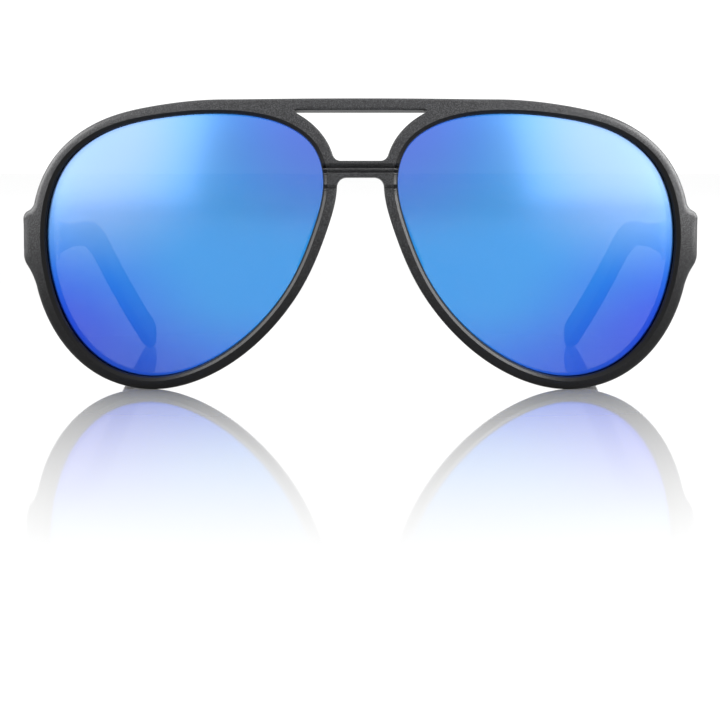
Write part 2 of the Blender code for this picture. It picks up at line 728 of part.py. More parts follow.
def temple_tip_mesh():
    """Soft sleeve over the tongue, with a round end that hooks behind the ear."""
    end = temple_end()
    sections = [temple_ring(s, *temple_size(s)) for s in np.linspace(SLEEVE_AT, end, 12)]
    thickness, height = temple_size(end)
    for angle in np.radians([30, 55, 75]):
        s = end + height / 2 * math.sin(angle)
        slim = max(math.cos(angle), 0.5)
        sections.append(temple_ring(s, thickness * slim, height * math.cos(angle)))
    sleeve = lofted(sections)
    socket = [temple_ring(s, TONGUE_THICKNESS + 2 * GAP, TONGUE_HEIGHT + 2 * GAP, GAP)
              for s in np.linspace(SLEEVE_AT - 1, SLEEVE_AT + TONGUE_LENGTH + GAP, 8)]
    return combined(sleeve, [lofted(socket)], "DIFFERENCE")


# ---------------------------------------------------------------- assembly

def material(name, colour, roughness, metallic=0.0, alpha=1.0):
    made = bpy.data.materials.new(name)
    made.use_nodes = True
    shader = made.node_tree.nodes["Principled BSDF"]
    shader.inputs["Base Color"].default_value = (*colour, 1)
    shader.inputs["Roughness"].default_value = roughness
    shader.inputs["Metallic"].default_value = metallic
    shader.inputs["Alpha"].default_value = alpha
    made.diffuse_color = (*colour, 1)
    return made


def empty(name, place, parent=None):
    made = bpy.data.objects.new(name, None)
    made.empty_display_size = 0.01
    made.location = place * MM
    made.parent = parent
    bpy.context.scene.collection.objects.link(made)
    return made


def add_piece(name, mesh, finish, parent, origin=Vector((0, 0, 0)), smooth=30.0):
    """An object from a mesh in millimetres, with its origin at a point of the design."""
    mesh = mesh.copy()
    mesh.name = name
    mesh.transform(Matrix.Scale(MM, 4) @ Matrix.Translation(-origin))
    mesh.materials.clear()
    mesh.materials.append(finish)
    mesh.shade_smooth()
    mesh.set_sharp_from_angle(angle=math.radians(smooth))
    piece = bpy.data.objects.new(name, mesh)
    piece.parent = parent
    bpy.context.scene.collection.objects.link(piece)
    return piece


def stand_on_origin(root, pieces):
    """Move the whole assembly so that its box stands centred on the world origin."""
    bpy.context.view_layer.update()
    corners = np.array([piece.matrix_world @ v.co for piece in pieces for v in piece.data.vertices])
    low, high = corners.min(axis=0), corners.max(axis=0)
    root.location = (-(low[0] + high[0]) / 2, -(low[1] + high[1]) / 2, -low[2])


def main():
    for obj in list(bpy.data.objects):
        bpy.data.objects.remove(obj)

    nylon = material("moulded_nylon", (0.028, 0.028, 0.031), 0.42)
    mirror = material("blue_mirror", (0.055, 0.27, 0.86), 0.08, 0.9)
    soft = material("soft_rubber", (0.02, 0.02, 0.022), 0.7)
    steel = material("hinge_steel", (0.50, 0.50, 0.52), 0.32, 1.0)

    root = empty("glasses", Vector((0, 0, 0)))
    pieces = [add_piece("front_frame", front_mesh(), nylon, root)]
    fixed = {"lens": (lens_mesh(), mirror), "nose_pad": (nose_pad_mesh(), soft),
             "front_hinge_leaf": (front_leaf_mesh(), steel),
             "hinge_screw": (hinge_screw_mesh(), steel)}
    moving = {"temple": (temple_mesh(), nylon), "temple_tip": (temple_tip_mesh(), soft),
              "temple_hinge_leaf": (temple_leaf_mesh(), steel)}
    for place, spot in zip(front_screw_places(), ("upper", "lower")):
        fixed[f"front_leaf_screw_{spot}"] = (leaf_screw_mesh(place), steel)
    for place, spot in zip(temple_screw_places(), ("front", "rear")):
        moving[f"temple_leaf_screw_{spot}"] = (leaf_screw_mesh(place), steel)

    for side, sign in (("left", 1), ("right", -1)):
        hinge = Vector((sign * PIVOT_X, JOINT_Y, HINGE_Z))
        pivot = empty(f"{side}_temple_pivot", hinge, root)
        for name, (mesh, finish) in fixed.items():
            shape = mesh if sign > 0 else flipped(mesh)
            pieces.append(add_piece(f"{side}_{name}", shape, finish, root))
        for name, (mesh, finish) in moving.items():
            shape = mesh if sign > 0 else flipped(mesh)
            pieces.append(add_piece(f"{side}_{name}", shape, finish, pivot, origin=hinge))

    stand_on_origin(root, pieces)
    for mesh in list(bpy.data.meshes):
        if not mesh.users:
            bpy.data.meshes.remove(mesh)


main()
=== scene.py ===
"""Finished pieces, materials and stage for wrap-front double-bridge sunglasses.

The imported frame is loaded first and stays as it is. The moulded front, lenses, nose pads, hinges,
temples and tips are built again round it at full detail, in millimetres of the design, and moved
into the frame by the left hinge's pivot. +X is the wearer's left and the front looks along -Y.
"""
import json
import math
from functools import partial

import bmesh
import bpy
import numpy as np
from bpy.props import FloatProperty, FloatVectorProperty, PointerProperty
from bpy.types import Operator, Panel, PropertyGroup
from mathutils import Matrix, Vector
from mathutils.geometry import delaunay_2d_cdt


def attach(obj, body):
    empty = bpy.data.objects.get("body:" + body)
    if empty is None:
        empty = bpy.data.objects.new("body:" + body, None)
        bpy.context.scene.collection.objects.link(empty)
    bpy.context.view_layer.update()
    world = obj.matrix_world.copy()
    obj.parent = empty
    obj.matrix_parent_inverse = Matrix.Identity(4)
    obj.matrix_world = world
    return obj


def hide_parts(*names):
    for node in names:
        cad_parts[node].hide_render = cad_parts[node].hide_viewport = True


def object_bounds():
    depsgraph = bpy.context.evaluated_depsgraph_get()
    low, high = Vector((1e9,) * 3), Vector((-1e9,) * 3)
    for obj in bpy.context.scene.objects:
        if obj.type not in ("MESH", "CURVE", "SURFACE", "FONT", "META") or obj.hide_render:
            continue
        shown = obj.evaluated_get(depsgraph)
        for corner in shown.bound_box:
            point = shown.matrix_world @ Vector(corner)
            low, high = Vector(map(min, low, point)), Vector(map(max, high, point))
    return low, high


bl_info = {
    "name": "Mirror Sunglasses",
    "version": (1, 0, 0),
    "blender": (4, 5, 0),
    "location": "3D View > Sidebar > Sunglasses",
    "description": "Builds the finished pieces and the stage of folding mirror sunglasses",
    "category": "Add Mesh",
}

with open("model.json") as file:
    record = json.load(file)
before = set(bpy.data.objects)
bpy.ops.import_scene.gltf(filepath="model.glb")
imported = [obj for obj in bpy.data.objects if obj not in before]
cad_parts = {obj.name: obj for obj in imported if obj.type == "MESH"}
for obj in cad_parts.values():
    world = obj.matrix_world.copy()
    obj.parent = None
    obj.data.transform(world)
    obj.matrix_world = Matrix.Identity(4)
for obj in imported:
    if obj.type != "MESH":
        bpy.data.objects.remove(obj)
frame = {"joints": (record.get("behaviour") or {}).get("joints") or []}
CAD_LOW, CAD_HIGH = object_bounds()

MM = 0.001
SIDES = (("left", 1), ("right", -1))

# Clearances and lenses, in millimetres like every size up to the properties
GAP = 0.3
PIN_CLEARANCE = 0.25
LENS_WIDTH = 61.9
LENS_HEIGHT = 58.1
LENS_THICKNESS = 1.8
LENS_EASE = 0.12           # eased corners of the lens blank
BRIDGE = 16.1
LENS_SHAPE = [             # (across from the nose, up from the bottom) as shares of the opening
    (0.000, 0.758), (0.038, 0.880), (0.130, 0.954), (0.325, 0.998), (0.585, 0.983),
    (0.778, 0.929), (0.925, 0.807), (0.993, 0.610), (0.986, 0.392), (0.908, 0.172),
    (0.778, 0.041), (0.608, 0.000), (0.416, 0.060), (0.235, 0.203), (0.113, 0.373),
    (0.032, 0.575)]

# Moulded front
RIM_BOTTOM = 2.6
RIM_WIDTHS = [             # (direction out of the lens in degrees, 0 to the temple, width)
    (-90, RIM_BOTTOM), (-55, 2.9), (-17, 3.5), (10, 3.3), (40, 2.7), (80, 2.6), (110, 3.6),
    (125, 3.35), (145, 2.95), (190, 3.05), (215, 2.75), (240, 2.9), (270, RIM_BOTTOM)]
BEVEL_WIDTHS = [           # (direction, width of the slope down to the lens)
    (-90, 0.5), (-45, 0.65), (0, 0.75), (50, 0.7), (90, 0.55), (135, 0.8), (180, 1.0),
    (235, 0.9), (270, 0.5)]
RIM_DEPTH = 4.4
WRAP_RADIUS = 125.0
FLAT_HALF_WIDTH = 8.5
TILT = math.radians(4.0)
BROW_RISE = 3.15
BROW_HEIGHT = 2.6
STRAP_DROP = 10.35
STRAP_HEIGHT = 3.55
EDGE_ROUND = 0.8
LIP = 1.15
GROOVE_BITE = 0.85
GROOVE_BACK = LIP + LENS_THICKNESS + 2 * GAP
LENS_SLOPE = [             # (share of the slope's width, depth) from the face to the lip
    (1.06, 0.0), (1.0, 0.015), (0.92, 0.06), (0.4, 0.5), (0.34, 0.54), (0.2, 0.57),
    (0.14, 0.61), (0.03, LIP - 0.08)]
LENS_GROOVE = [            # (inset into the rim, depth) from the lip to the back
    (0.0, LIP), (GROOVE_BITE, LIP), (GROOVE_BITE, GROOVE_BACK), (0.0, GROOVE_BACK),
    (0.06, GROOVE_BACK + 0.12), (0.25, RIM_DEPTH - 0.1), (0.38, RIM_DEPTH)]
ARCH_ROUND = 2.2
WINDOW_ROUND = 1.3
SADDLE_PROFILE = [         # (height over the strap's lower edge, depth) of the bridge's relief
    (-2.85, 0.0), (-2.70, -0.06), (-2.47, -0.05), (-2.38, 0.36), (-1.74, -0.05),
    (-1.62, -0.2), (0.62, -0.2), (0.72, -0.26), (0.84, -0.24), (0.94, -0.14), (1.03, 0.36),
    (1.52, -0.12), (1.62, -0.24), (1.74, -0.24), (1.92, -0.1), (2.03, 1.05), (2.86, 0.12),
    (2.98, 0.0)]
SADDLE_REACH = 12.0        # half width over which the relief runs

# Endpieces
TAB_REACH = 5.1
TAB_HEIGHT = 10.4
TAB_RISE = 1.4
TAB_FLARE_TOP = 1.2
TAB_FLARE_BOTTOM = 3.8
TAB_ROUND = 1.2
LUG_WIDTH = 4.0
LUG_INSET = 0.3
HINGE_RISE = 0.45

# Hinges
LEAF_HEIGHT = 8.0
LEAF_THICKNESS = 1.0
FRONT_LEAF_LENGTH = 3.6
TEMPLE_LEAF_LENGTH = 17.0
KNUCKLES = 5
KNUCKLE_RADIUS = 1.4
PIN_RADIUS = 0.6
PIN_HEAD_RADIUS = 1.1
PIN_HEAD_HEIGHT = 0.6
LEAF_SCREW_RADIUS = 0.5
LEAF_SCREW_LENGTH = 2.4
LEAF_SCREW_HEAD = 0.95
LEAF_SCREW_HEAD_HEIGHT = 0.4
FRONT_SCREW_SPREAD = 4.4
TEMPLE_SCREW_INSET = 3.2
SLOT_WIDTH = 0.3
SLOT_DEPTH = 0.22

# Temples
TEMPLE_ROOT_HEIGHT = 10.9
TEMPLE_SHOULDER_HEIGHT = 7.985
TEMPLE_WAIST_HEIGHT = 5.6
TEMPLE_BEND_HEIGHT = 6.1
TEMPLE_THICKNESS = 4.0
TEMPLE_WAIST_THICKNESS = 2.8
FLAT_LENGTH = 34.0
WAIST_AT = 60.0
BEND_AT = 76.0
BEND_RADIUS = 34.0
HOOK_ANGLE = math.radians(33.0)
SLEEVE_MOUTH_HEIGHT = 7.6
HOOK_HEIGHT = 8.0
HOOK_THICKNESS = 3.2
HOOK_LEAN = 15.2
LEAN_POWER = 1.7
SLEEVE_AT = 90.0
TONGUE_LENGTH = 26.0
TONGUE_HEIGHT = 4.0
TONGUE_THICKNESS = 1.2
SECTION_ROUND = 1.1

# Nose pads
PAD_FROM = 25.0
PAD_LENGTH = 14.0
PAD_THICKNESS = 1.3
PAD_WIDTH = 3.8
FLANGE_THICKNESS = 1.5

# Places that follow from the sizes
LENS_BOTTOM = RIM_BOTTOM
LENS_TOP = LENS_BOTTOM + LENS_HEIGHT
LENS_MIDDLE = LENS_BOTTOM + LENS_HEIGHT / 2
LENS_INNER = BRIDGE / 2
LENS_OUTER = LENS_INNER + LENS_WIDTH
HINGE_Z = LENS_MIDDLE + HINGE_RISE
TAB_X = LENS_OUTER + TAB_REACH
TAB_Z = HINGE_Z + TAB_RISE
TAB_TOP = TAB_Z + TAB_HEIGHT / 2
TAB_BOTTOM = TAB_Z - TAB_HEIGHT / 2
BROW_TOP = LENS_TOP + BROW_RISE
STRAP_TOP = LENS_TOP - STRAP_DROP
STRAP_BOTTOM = STRAP_TOP - STRAP_HEIGHT
SADDLE_LOW = STRAP_BOTTOM + SADDLE_PROFILE[0][0]
SADDLE_HIGH = STRAP_BOTTOM + SADDLE_PROFILE[-1][0]

# Spans over which the rounding of the front edges changes
NOSE_TO_RIM = (14, 48)
RIM_TO_TAB = (LENS_OUTER + 1.0, TAB_X - 0.6)
STRAP_TO_NOSE = (LENS_INNER - 2, LENS_INNER + 3)
STRAP_UP_DOWN = (4, 6)     # away from the lower bridge's top


def front_depth(x, z):
    """How far the front surface lies behind its own vertical plane at (x, z)."""
    across = max(abs(x) - FLAT_HALF_WIDTH, 0.0)
    up = z - LENS_MIDDLE
    sag = WRAP_RADIUS - math.sqrt(WRAP_RADIUS ** 2 - across ** 2 - up ** 2)
    return sag - math.tan(TILT) * up


def shell_point(x, z, depth=0.0):
    """The point a given depth under the front surface, measured square to it."""
    step = 0.05
    slope_x = (front_depth(x + step, z) - front_depth(x - step, z)) / (2 * step)
    slope_z = (front_depth(x, z + step) - front_depth(x, z - step)) / (2 * step)
    normal = Vector((-slope_x, 1.0, -slope_z)).normalized()
    return Vector((x, front_depth(x, z), z)) + normal * depth


def rim_back(x, z):
    """How far back the rim's back surface lies at (x, z)."""
    start = x
    for _ in range(8):
        point = shell_point(start, z, RIM_DEPTH)
        start += x - point.x
    return point.y


LUG_OUTER = TAB_X - LUG_INSET
LUG_INNER = LUG_OUTER - LUG_WIDTH
LEAF_OUTER = LUG_INNER - GAP
PIVOT_X = LEAF_OUTER - KNUCKLE_RADIUS
FRONT_LEAF_END = rim_back(LUG_INNER, HINGE_Z) + GAP + FRONT_LEAF_LENGTH
JOINT_Y = FRONT_LEAF_END + GAP + KNUCKLE_RADIUS
TEMPLE_START = JOINT_Y + GAP
TEMPLE_LEAF_START = JOINT_Y + KNUCKLE_RADIUS + GAP
ALONG_X, ALONG_Z = Vector((1, 0, 0)), Vector((0, 0, 1))
PIVOT = Vector((PIVOT_X, JOINT_Y, 0))

LEFT_PIVOT = next(j["pos_m"] for j in frame["joints"] if j["child"] == "left_temple")
TO_FRAME = (Matrix.Translation(LEFT_PIVOT) @ Matrix.Scale(MM, 4)
            @ Matrix.Translation((-PIVOT_X, -JOINT_Y, -HINGE_Z)))


# ---------------------------------------------------------------- properties

# Kinds of setting
Size = partial(FloatProperty, unit="LENGTH", min=0.0, precision=5)
Share = partial(FloatProperty, subtype="FACTOR", min=0.0, max=1.0)
Level = partial(FloatProperty, min=0.0)
Colour = partial(FloatVectorProperty, subtype="COLOR", min=0.0, max=1.0)


class FrontSettings(PropertyGroup):
    """Sizes of the moulded front that only its looks depend on."""
    crown: Size(name="Crown",
                description="How far the front edge's rounding reaches over the outer rims",
                default=1.35 * MM, min=0.5 * MM, max=1.6 * MM)
    tab_crown: Size(name="Endpiece crown", description="The same at the endpieces' outer edges",
                    default=1.9 * MM, min=0.5 * MM, max=2.2 * MM)
    nose_round: Size(name="Nose side round",
                     description="Rounding of the front edges beside the nose", default=0.75 * MM,
                     min=0.3 * MM, max=1.0 * MM)
    strap_round: Size(name="Bridge round", description="Rounding of the lower bridge's front edges",
                      default=0.38 * MM, min=0.2 * MM, max=0.6 * MM)
    relief: Share(name="Bridge relief",
                  description="Share of the depth of the lower bridge's grooves", default=1.0,
                  max=1.4)


class LensSettings(PropertyGroup):
    """Colours of the mirror coating, and of the reflections and highlight painted on it."""
    middle: Colour(name="Middle", description="Coating colour over the middle of the lens",
                   default=(0.015, 0.37, 0.98))
    # Painted highlight: paler coating towards the upper temple side, where a softbox's reflection
    # falls.
    glow: Colour(name="Glow", description="Paler coating towards the upper temple side",
                 default=(0.27, 0.45, 0.85))
    # Painted reflection tint at the upper nose corner.
    violet: Colour(name="Violet", description="Coating colour at the upper nose corner",
                   default=(0.06, 0.20, 1.0))
    # Painted shade: deeper blue at the lower temple side, where darker surroundings are mirrored.
    deep: Colour(name="Deep", description="Coating colour at the lower temple side",
                 default=(0.0, 0.035, 1.0))
    # Painted shade along the bottom of the lens, where the floor is mirrored darker.
    low: Colour(name="Low", description="Coating colour along the bottom of the lens",
                default=(0.02, 0.15, 1.0))
    opacity: Share(name="Opacity", description="How much of what lies behind the coating is hidden",
                   default=0.945, min=0.5)
    roughness: Share(name="Roughness", description="Roughness of the coating", default=0.2)


class FinishSettings(PropertyGroup):
    """Colours and grain of the nylon, rubber and steel."""
    # Painted light and shade: the nylon is lighter high up and darker low down; the low colour is
    # also the painted shade round each lens.
    nylon: Colour(name="Nylon", description="Colour of the moulded nylon high up",
                  default=(0.028, 0.028, 0.0292))
    nylon_low: Colour(name="Nylon low down", description="Colour of the moulded nylon low down",
                      default=(0.002, 0.002, 0.0022))
    # Flecks of the grain painted lighter as glints.
    nylon_fleck: Colour(name="Nylon flecks", description="Colour of the fine flecks in the nylon",
                        default=(0.078, 0.079, 0.083))
    nylon_roughness: Share(name="Nylon roughness", description="Roughness of the satin nylon",
                           default=0.32)
    grain: Size(name="Grain size", description="Size of the moulded grain's features",
                default=0.28 * MM, min=0.05 * MM, max=2 * MM)
    grain_height: Size(name="Grain height", description="Height of the moulded grain",
                       default=0.025 * MM, max=0.1 * MM)
    rubber: Colour(name="Rubber", description="Colour of the tips and nose pads",
                   default=(0.017, 0.017, 0.019))
    steel: Colour(name="Steel", description="Colour of the hinges and screws",
                  default=(0.44, 0.44, 0.455))


class StageSettings(PropertyGroup):
    """Floor, camera and studio lights."""
    floor: Colour(name="Floor", description="Colour of the floor", default=(0.82, 0.82, 0.82))
    floor_near: Colour(name="Lit floor",
                       description="Colour of the floor where the lights are strongest",
                       default=(0.45, 0.45, 0.45))
    floor_mirrored: Colour(name="Mirrored floor",
                           description="Colour of the floor as the glasses mirror it",
                           default=(0.34, 0.34, 0.34))
    gloss: Share(name="Floor gloss",
                 description="Strength of the floor's reflection close to the glasses", default=0.8)
    gloss_from: Size(name="Gloss fades from",
                     description="Distance from the middle where the gloss fades", default=0.06)
    gloss_to: Size(name="Gloss ends at",
                   description="Distance from the middle where no gloss is left", default=0.34)
    sky: Level(name="Surround", description="Brightness of the white surround", default=1.2)
    sky_front: Level(name="Front surround",
                     description="Brightness of the surround in front of the glasses", default=0.68)
    sky_side: Level(name="Side surround",
                    description="Brightness of the surround mirrored at the sides", default=0.85)
    sky_behind: Level(name="Rear surround",
                      description="Brightness of the surround mirrored behind the sides",
                      default=0.4)
    sky_high: Level(name="High surround",
                    description="Brightness of the surround mirrored from above", default=1.0)
    lens_length: FloatProperty(name="Focal length",
                               description="Focal length of the camera in millimetres",
                               default=139.68, min=20.0)
    camera_distance: Size(name="Camera distance",
                          description="From the camera to the front of the glasses", default=0.6,
                          min=0.1)
    camera_height: Size(name="Camera height", description="Height of the camera over the floor",
                        default=0.04965)
    camera_dip: FloatProperty(name="Camera dip", description="How far the camera looks down",
                              default=math.radians(4.04), subtype="ANGLE")


SETTINGS = (("front", FrontSettings), ("lens", LensSettings), ("finish", FinishSettings),
            ("stage", StageSettings))


class SunglassesSettings(PropertyGroup):
    """All settings of the sunglasses."""
    front: PointerProperty(type=FrontSettings, name="Front", description="Moulded front")
    lens: PointerProperty(type=LensSettings, name="Lenses", description="Mirror coating")
    finish: PointerProperty(type=FinishSettings, name="Finishes",
                            description="Nylon, rubber, steel")
    stage: PointerProperty(type=StageSettings, name="Stage", description="Floor, camera, lights")


# ---------------------------------------------------------------- outlines in the (x, z) plane

def smooth_rise(value, low, high):
    """0 up to low, 1 from high, and an eased rise between them."""
    t = min(max((value - low) / (high - low), 0.0), 1.0)
    return t * t * (3 - 2 * t)


def closed_spline(points, count):
    """Smooth closed curve through the points, as count points at equal spacing."""
    knots = np.array(points, float)
    ahead = np.roll(knots, -1, axis=0)
    chord = np.linalg.norm(ahead - knots, axis=1)
    behind = np.roll(chord, 1)
    size = len(knots)
    system = np.zeros((size, size))
    for i in range(size):
        system[i, i - 1] += behind[i]
        system[i, i] += 2 * (behind[i] + chord[i])
        system[i, (i + 1) % size] += chord[i]
    rates = (ahead - knots) / chord[:, None]
    bend = np.linalg.solve(system, 6 * (rates - np.roll(rates, 1, axis=0)))
    bend_ahead = np.roll(bend, -1, axis=0)
    curve = []
    for i in range(size):
        right = np.linspace(0, chord[i], 2 * count // size, endpoint=False)[:, None]
        left = chord[i] - right
        curve.append((bend[i] * left ** 3 + bend_ahead[i] * right ** 3) / (6 * chord[i])
                     + (knots[i] / chord[i] - bend[i] * chord[i] / 6) * left
                     + (ahead[i] / chord[i] - bend_ahead[i] * chord[i] / 6) * right)
    return evenly(np.vstack(curve), count, closed=True)


def lengths_along(path):
    """Length along a path up to each of its points."""
    return np.concatenate([[0.0], np.cumsum(np.linalg.norm(np.diff(path, axis=0), axis=1))])


def evenly(path, count, closed=False):
    """The path again, as count points at equal spacing."""
    path = np.array(path, float)
    if closed:
        path = np.vstack([path, path[:1]])
    along = lengths_along(path)
    at = np.linspace(0, along[-1], count, endpoint=not closed)
    return np.column_stack([np.interp(at, along, column) for column in path.T])


def bezier(start, start_handle, end_handle, end, count=48):
    """Points along a cubic curve between two ends."""
    t = np.linspace(0, 1, count)[:, None]
    return ((1 - t) ** 3 * np.array(start) + 3 * (1 - t) ** 2 * t * np.array(start_handle)
            + 3 * (1 - t) * t ** 2 * np.array(end_handle) + t ** 3 * np.array(end))


def corner_arc(before, corner, after, count=48):
    """Curve from before to after that bends round the corner between them."""
    pull = 0.6
    return bezier(before, before + pull * (corner - before), after + pull * (corner - after),
                  after, count)


def trimmed(path, length):
    """The path without its first stretch, of the given length or of 45% if that is less."""
    along = lengths_along(path)
    length = min(length, along[-1] * 0.45)
    start = [np.interp(length, along, column) for column in path.T]
    return np.vstack([start, path[along > length + 1e-6]])


def rounded_path(stretches, setbacks):
    """One path through stretches that meet at corners, each rounded from its setback."""
    path = stretches[0]
    for stretch, setback in zip(stretches[1:], setbacks):
        before = trimmed(path[::-1], setback)[::-1]
        after = trimmed(stretch, setback)
        arc = corner_arc(before[-1], stretch[0], after[0])
        path = np.vstack([before, arc[1:-1], after])
    return path


def outward_normals(loop):
    """Unit normals of a loop that runs clockwise, seen from the front."""
    tangent = np.roll(loop, -1, axis=0) - np.roll(loop, 1, axis=0)
    tangent /= np.linalg.norm(tangent, axis=1)[:, None]
    return np.column_stack([-tangent[:, 1], tangent[:, 0]])


def by_direction(normals, table):
    """A width for each normal, from a table of (degrees, width)."""
    direction = np.degrees(np.arctan2(normals[:, 1], normals[:, 0]))
    directions, widths = zip(*table)
    return np.interp(direction, directions, widths, period=360)


def settled(values, reach=50):
    """Values round a closed loop, averaged over their neighbours twice."""
    window = np.ones(2 * reach + 1) / (2 * reach + 1)
    for _ in range(2):
        values = np.convolve(np.concatenate([values[-reach:], values, values[:reach]]),
                             window, mode="valid")
    return values


def by_the_bridge(x, z):
    """Whether a point of the front lies in or just beside the bridge's relief."""
    return abs(x) < SADDLE_REACH and SADDLE_LOW - 0.5 < z < SADDLE_HIGH + 0.5


def thinned(loop, *extra):
    """Points of a dense closed loop that keep its shape, with normals and any extra columns."""
    tolerance, longest, closest = 0.003, 0.9, 0.11
    table = np.column_stack([loop, outward_normals(loop), *extra])
    kept = [0]
    for i in range(2, len(loop)):
        start = loop[kept[-1]]
        chord = loop[i] - start
        reach = math.hypot(*chord)
        between = loop[kept[-1] + 1:i] - start
        off = np.abs(between[:, 0] * chord[1] - between[:, 1] * chord[0]) / max(reach, 1e-9)
        limit = closest if by_the_bridge(*start) else longest
        if reach > limit or off.max() > tolerance:
            kept.append(i - 1)
    return table[kept]


def mirrored(table):
    """A loop table on the other side of the middle, still clockwise."""
    flip = np.ones(table.shape[1])
    flip[[0, 2]] = -1
    return table[::-1] * flip


def both_halves(half):
    """Closed loop from a half that runs from x = 0 on the +X side back to x = 0."""
    return np.vstack([half, half[-2:0:-1] * np.array([-1, 1])])


LENS_LOOP = closed_spline(LENS_SHAPE, 1800)
LENS_LOOP -= LENS_LOOP.min(axis=0)
LENS_LOOP /= LENS_LOOP.max(axis=0)
LENS_LOOP = LENS_LOOP * [LENS_WIDTH, LENS_HEIGHT] + [LENS_INNER, LENS_BOTTOM]


def rim_loop():
    """Outer edge of the rim round one lens, from its top and clockwise."""
    normals = outward_normals(LENS_LOOP)
    width = settled(by_direction(normals, RIM_WIDTHS))
    rim = LENS_LOOP + normals * width[:, None]
    return np.roll(rim, -int(rim[:, 1].argmax()), axis=0)


RIM_LOOP = rim_loop()
RIM_LOWEST = int(RIM_LOOP[:, 1].argmin())


def front_outline():
    """Outer edge of the whole front, dense, clockwise from the middle of the brow."""
    down, up = RIM_LOOP[:RIM_LOWEST + 1], RIM_LOOP[RIM_LOWEST:]
    top = RIM_LOOP[0]
    brow = bezier((0, BROW_TOP), (top[0] * 0.5, BROW_TOP), (top[0] * 0.7, top[1]), top, 240)
    upper_rim = down[down[:, 1] > TAB_TOP + TAB_FLARE_TOP]
    lower_rim = np.vstack([down[down[:, 1] < TAB_BOTTOM - TAB_FLARE_BOTTOM],
                           up[up[:, 1] < STRAP_BOTTOM][1:]])
    outer_top, outer_bottom = (TAB_X, TAB_TOP), (TAB_X, TAB_BOTTOM)
    arch = (lower_rim[-1][0], STRAP_BOTTOM)
    return both_halves(rounded_path(
        [np.vstack([brow[:-1], upper_rim]), evenly([upper_rim[-1], outer_top], 40),
         evenly([outer_top, outer_bottom], 100), evenly([outer_bottom, lower_rim[0]], 60),
         lower_rim, evenly([arch, (0, STRAP_BOTTOM)], 100)],
        [TAB_ROUND, TAB_ROUND, TAB_ROUND, 2 * TAB_ROUND, ARCH_ROUND]))


def window_outline():
    """The window between the brow bar and the lower bridge, dense and clockwise."""
    brow_bottom = BROW_TOP - BROW_HEIGHT
    side = RIM_LOOP[RIM_LOWEST:]
    side = side[(side[:, 1] > STRAP_TOP) & (side[:, 1] < brow_bottom)
                & (side[:, 0] < LENS_INNER + LENS_WIDTH / 2)][::-1]
    corner, foot = (side[0][0], brow_bottom), (side[-1][0], STRAP_TOP)
    return both_halves(rounded_path(
        [evenly([(0, brow_bottom), corner], 120), side, evenly([foot, (0, STRAP_TOP)], 100)],
        [WINDOW_ROUND, WINDOW_ROUND]))


# ---------------------------------------------------------------- mesh building

def join_rings(bm, rings):
    """Faces between each closed ring and the next."""
    faces = []
    for lower, upper in zip(rings, rings[1:]):
        for i in range(len(lower)):
            j = (i + 1) % len(lower)
            faces.append(bm.faces.new((lower[i], lower[j], upper[j], upper[i])))
    return faces


def inside(points, loop):
    """Which of the plan points lie inside a loop of plan points."""
    odd = np.zeros(len(points), bool)
    for (ax, az), (bx, bz) in zip(loop, np.roll(loop, -1, axis=0)):
        if az != bz:
            crosses = (az > points[:, 1]) != (bz > points[:, 1])
            odd ^= crosses & (points[:, 0] < (bx - ax) * (points[:, 1] - az) / (bz - az) + ax)
    return odd


def between(points, loops):
    """Which plan points lie inside the first loop and outside the others."""
    good = inside(points, loops[0])
    for loop in loops[1:]:
        good &= ~inside(points, loop)
    return good


def within(points, loops, clear):
    """Which plan points lie between the loops and clear of them all."""
    good = between(points, loops)
    edge = np.vstack(loops)
    for i in np.flatnonzero(good):
        good[i] = np.hypot(*(edge - points[i]).T).min() > clear
    return good


def plan(ring):
    """The (x, z) places of a ring's vertices."""
    return np.array([(v.co.x, v.co.z) for v in ring])


def fill_between(bm, rings, extra=(), lines=()):
    """Faces between nested rings, the first of them the outer one, through extra vertices."""
    verts = [v for ring in rings for v in ring] + list(extra)
    edges, start = [], 0
    for ring in rings:
        size = len(ring)
        edges += [(start + i, start + (i + 1) % size) for i in range(size)]
        start += size
    edges += [(start + a, start + b) for a, b in lines]
    flat = plan(verts)
    _, _, faces, origin, _, _ = delaunay_2d_cdt([Vector(p) for p in flat], edges, [], 0, 1e-6)
    corners = np.array([[origin[i][0] for i in face] for face in faces])
    good = between(flat[corners].mean(axis=1), [plan(ring) for ring in rings])
    return [bm.faces.new([verts[i] for i in corner]) for corner in corners[good]]


def rounded_rectangle(width, height, radius, steps=6):
    """(across, up) points of a rectangle with round corners, centred, as a closed ring."""
    radius = min(radius, 0.49 * width, 0.49 * height)
    points = []
    for quarter, (side, top) in enumerate([(1, 1), (-1, 1), (-1, -1), (1, -1)]):
        centre = (side * (width / 2 - radius), top * (height / 2 - radius))
        for k in range(steps + 1):
            angle = math.pi / 2 * (quarter + k / steps)
            points.append((centre[0] + radius * math.cos(angle),
                           centre[1] + radius * math.sin(angle)))
    return points


def rounded_quad(corners, radius, steps=7):
    """A four-cornered ring with round corners."""
    points = []
    for i in range(4):
        corner = np.array(corners[i])
        before = np.array(corners[i - 1]) - corner
        after = np.array(corners[(i + 1) % 4]) - corner
        start = corner + before / np.linalg.norm(before) * radius
        end = corner + after / np.linalg.norm(after) * radius
        points += list(corner_arc(start, corner, end, steps + 1))
    return points


def lofted(sections):
    """Closed mesh through rings of points, one after another."""
    bm = bmesh.new()
    rings = [[bm.verts.new(point) for point in section] for section in sections]
    join_rings(bm, rings)
    bm.faces.new(rings[0])
    bm.faces.new(rings[-1])
    return finished(bm)


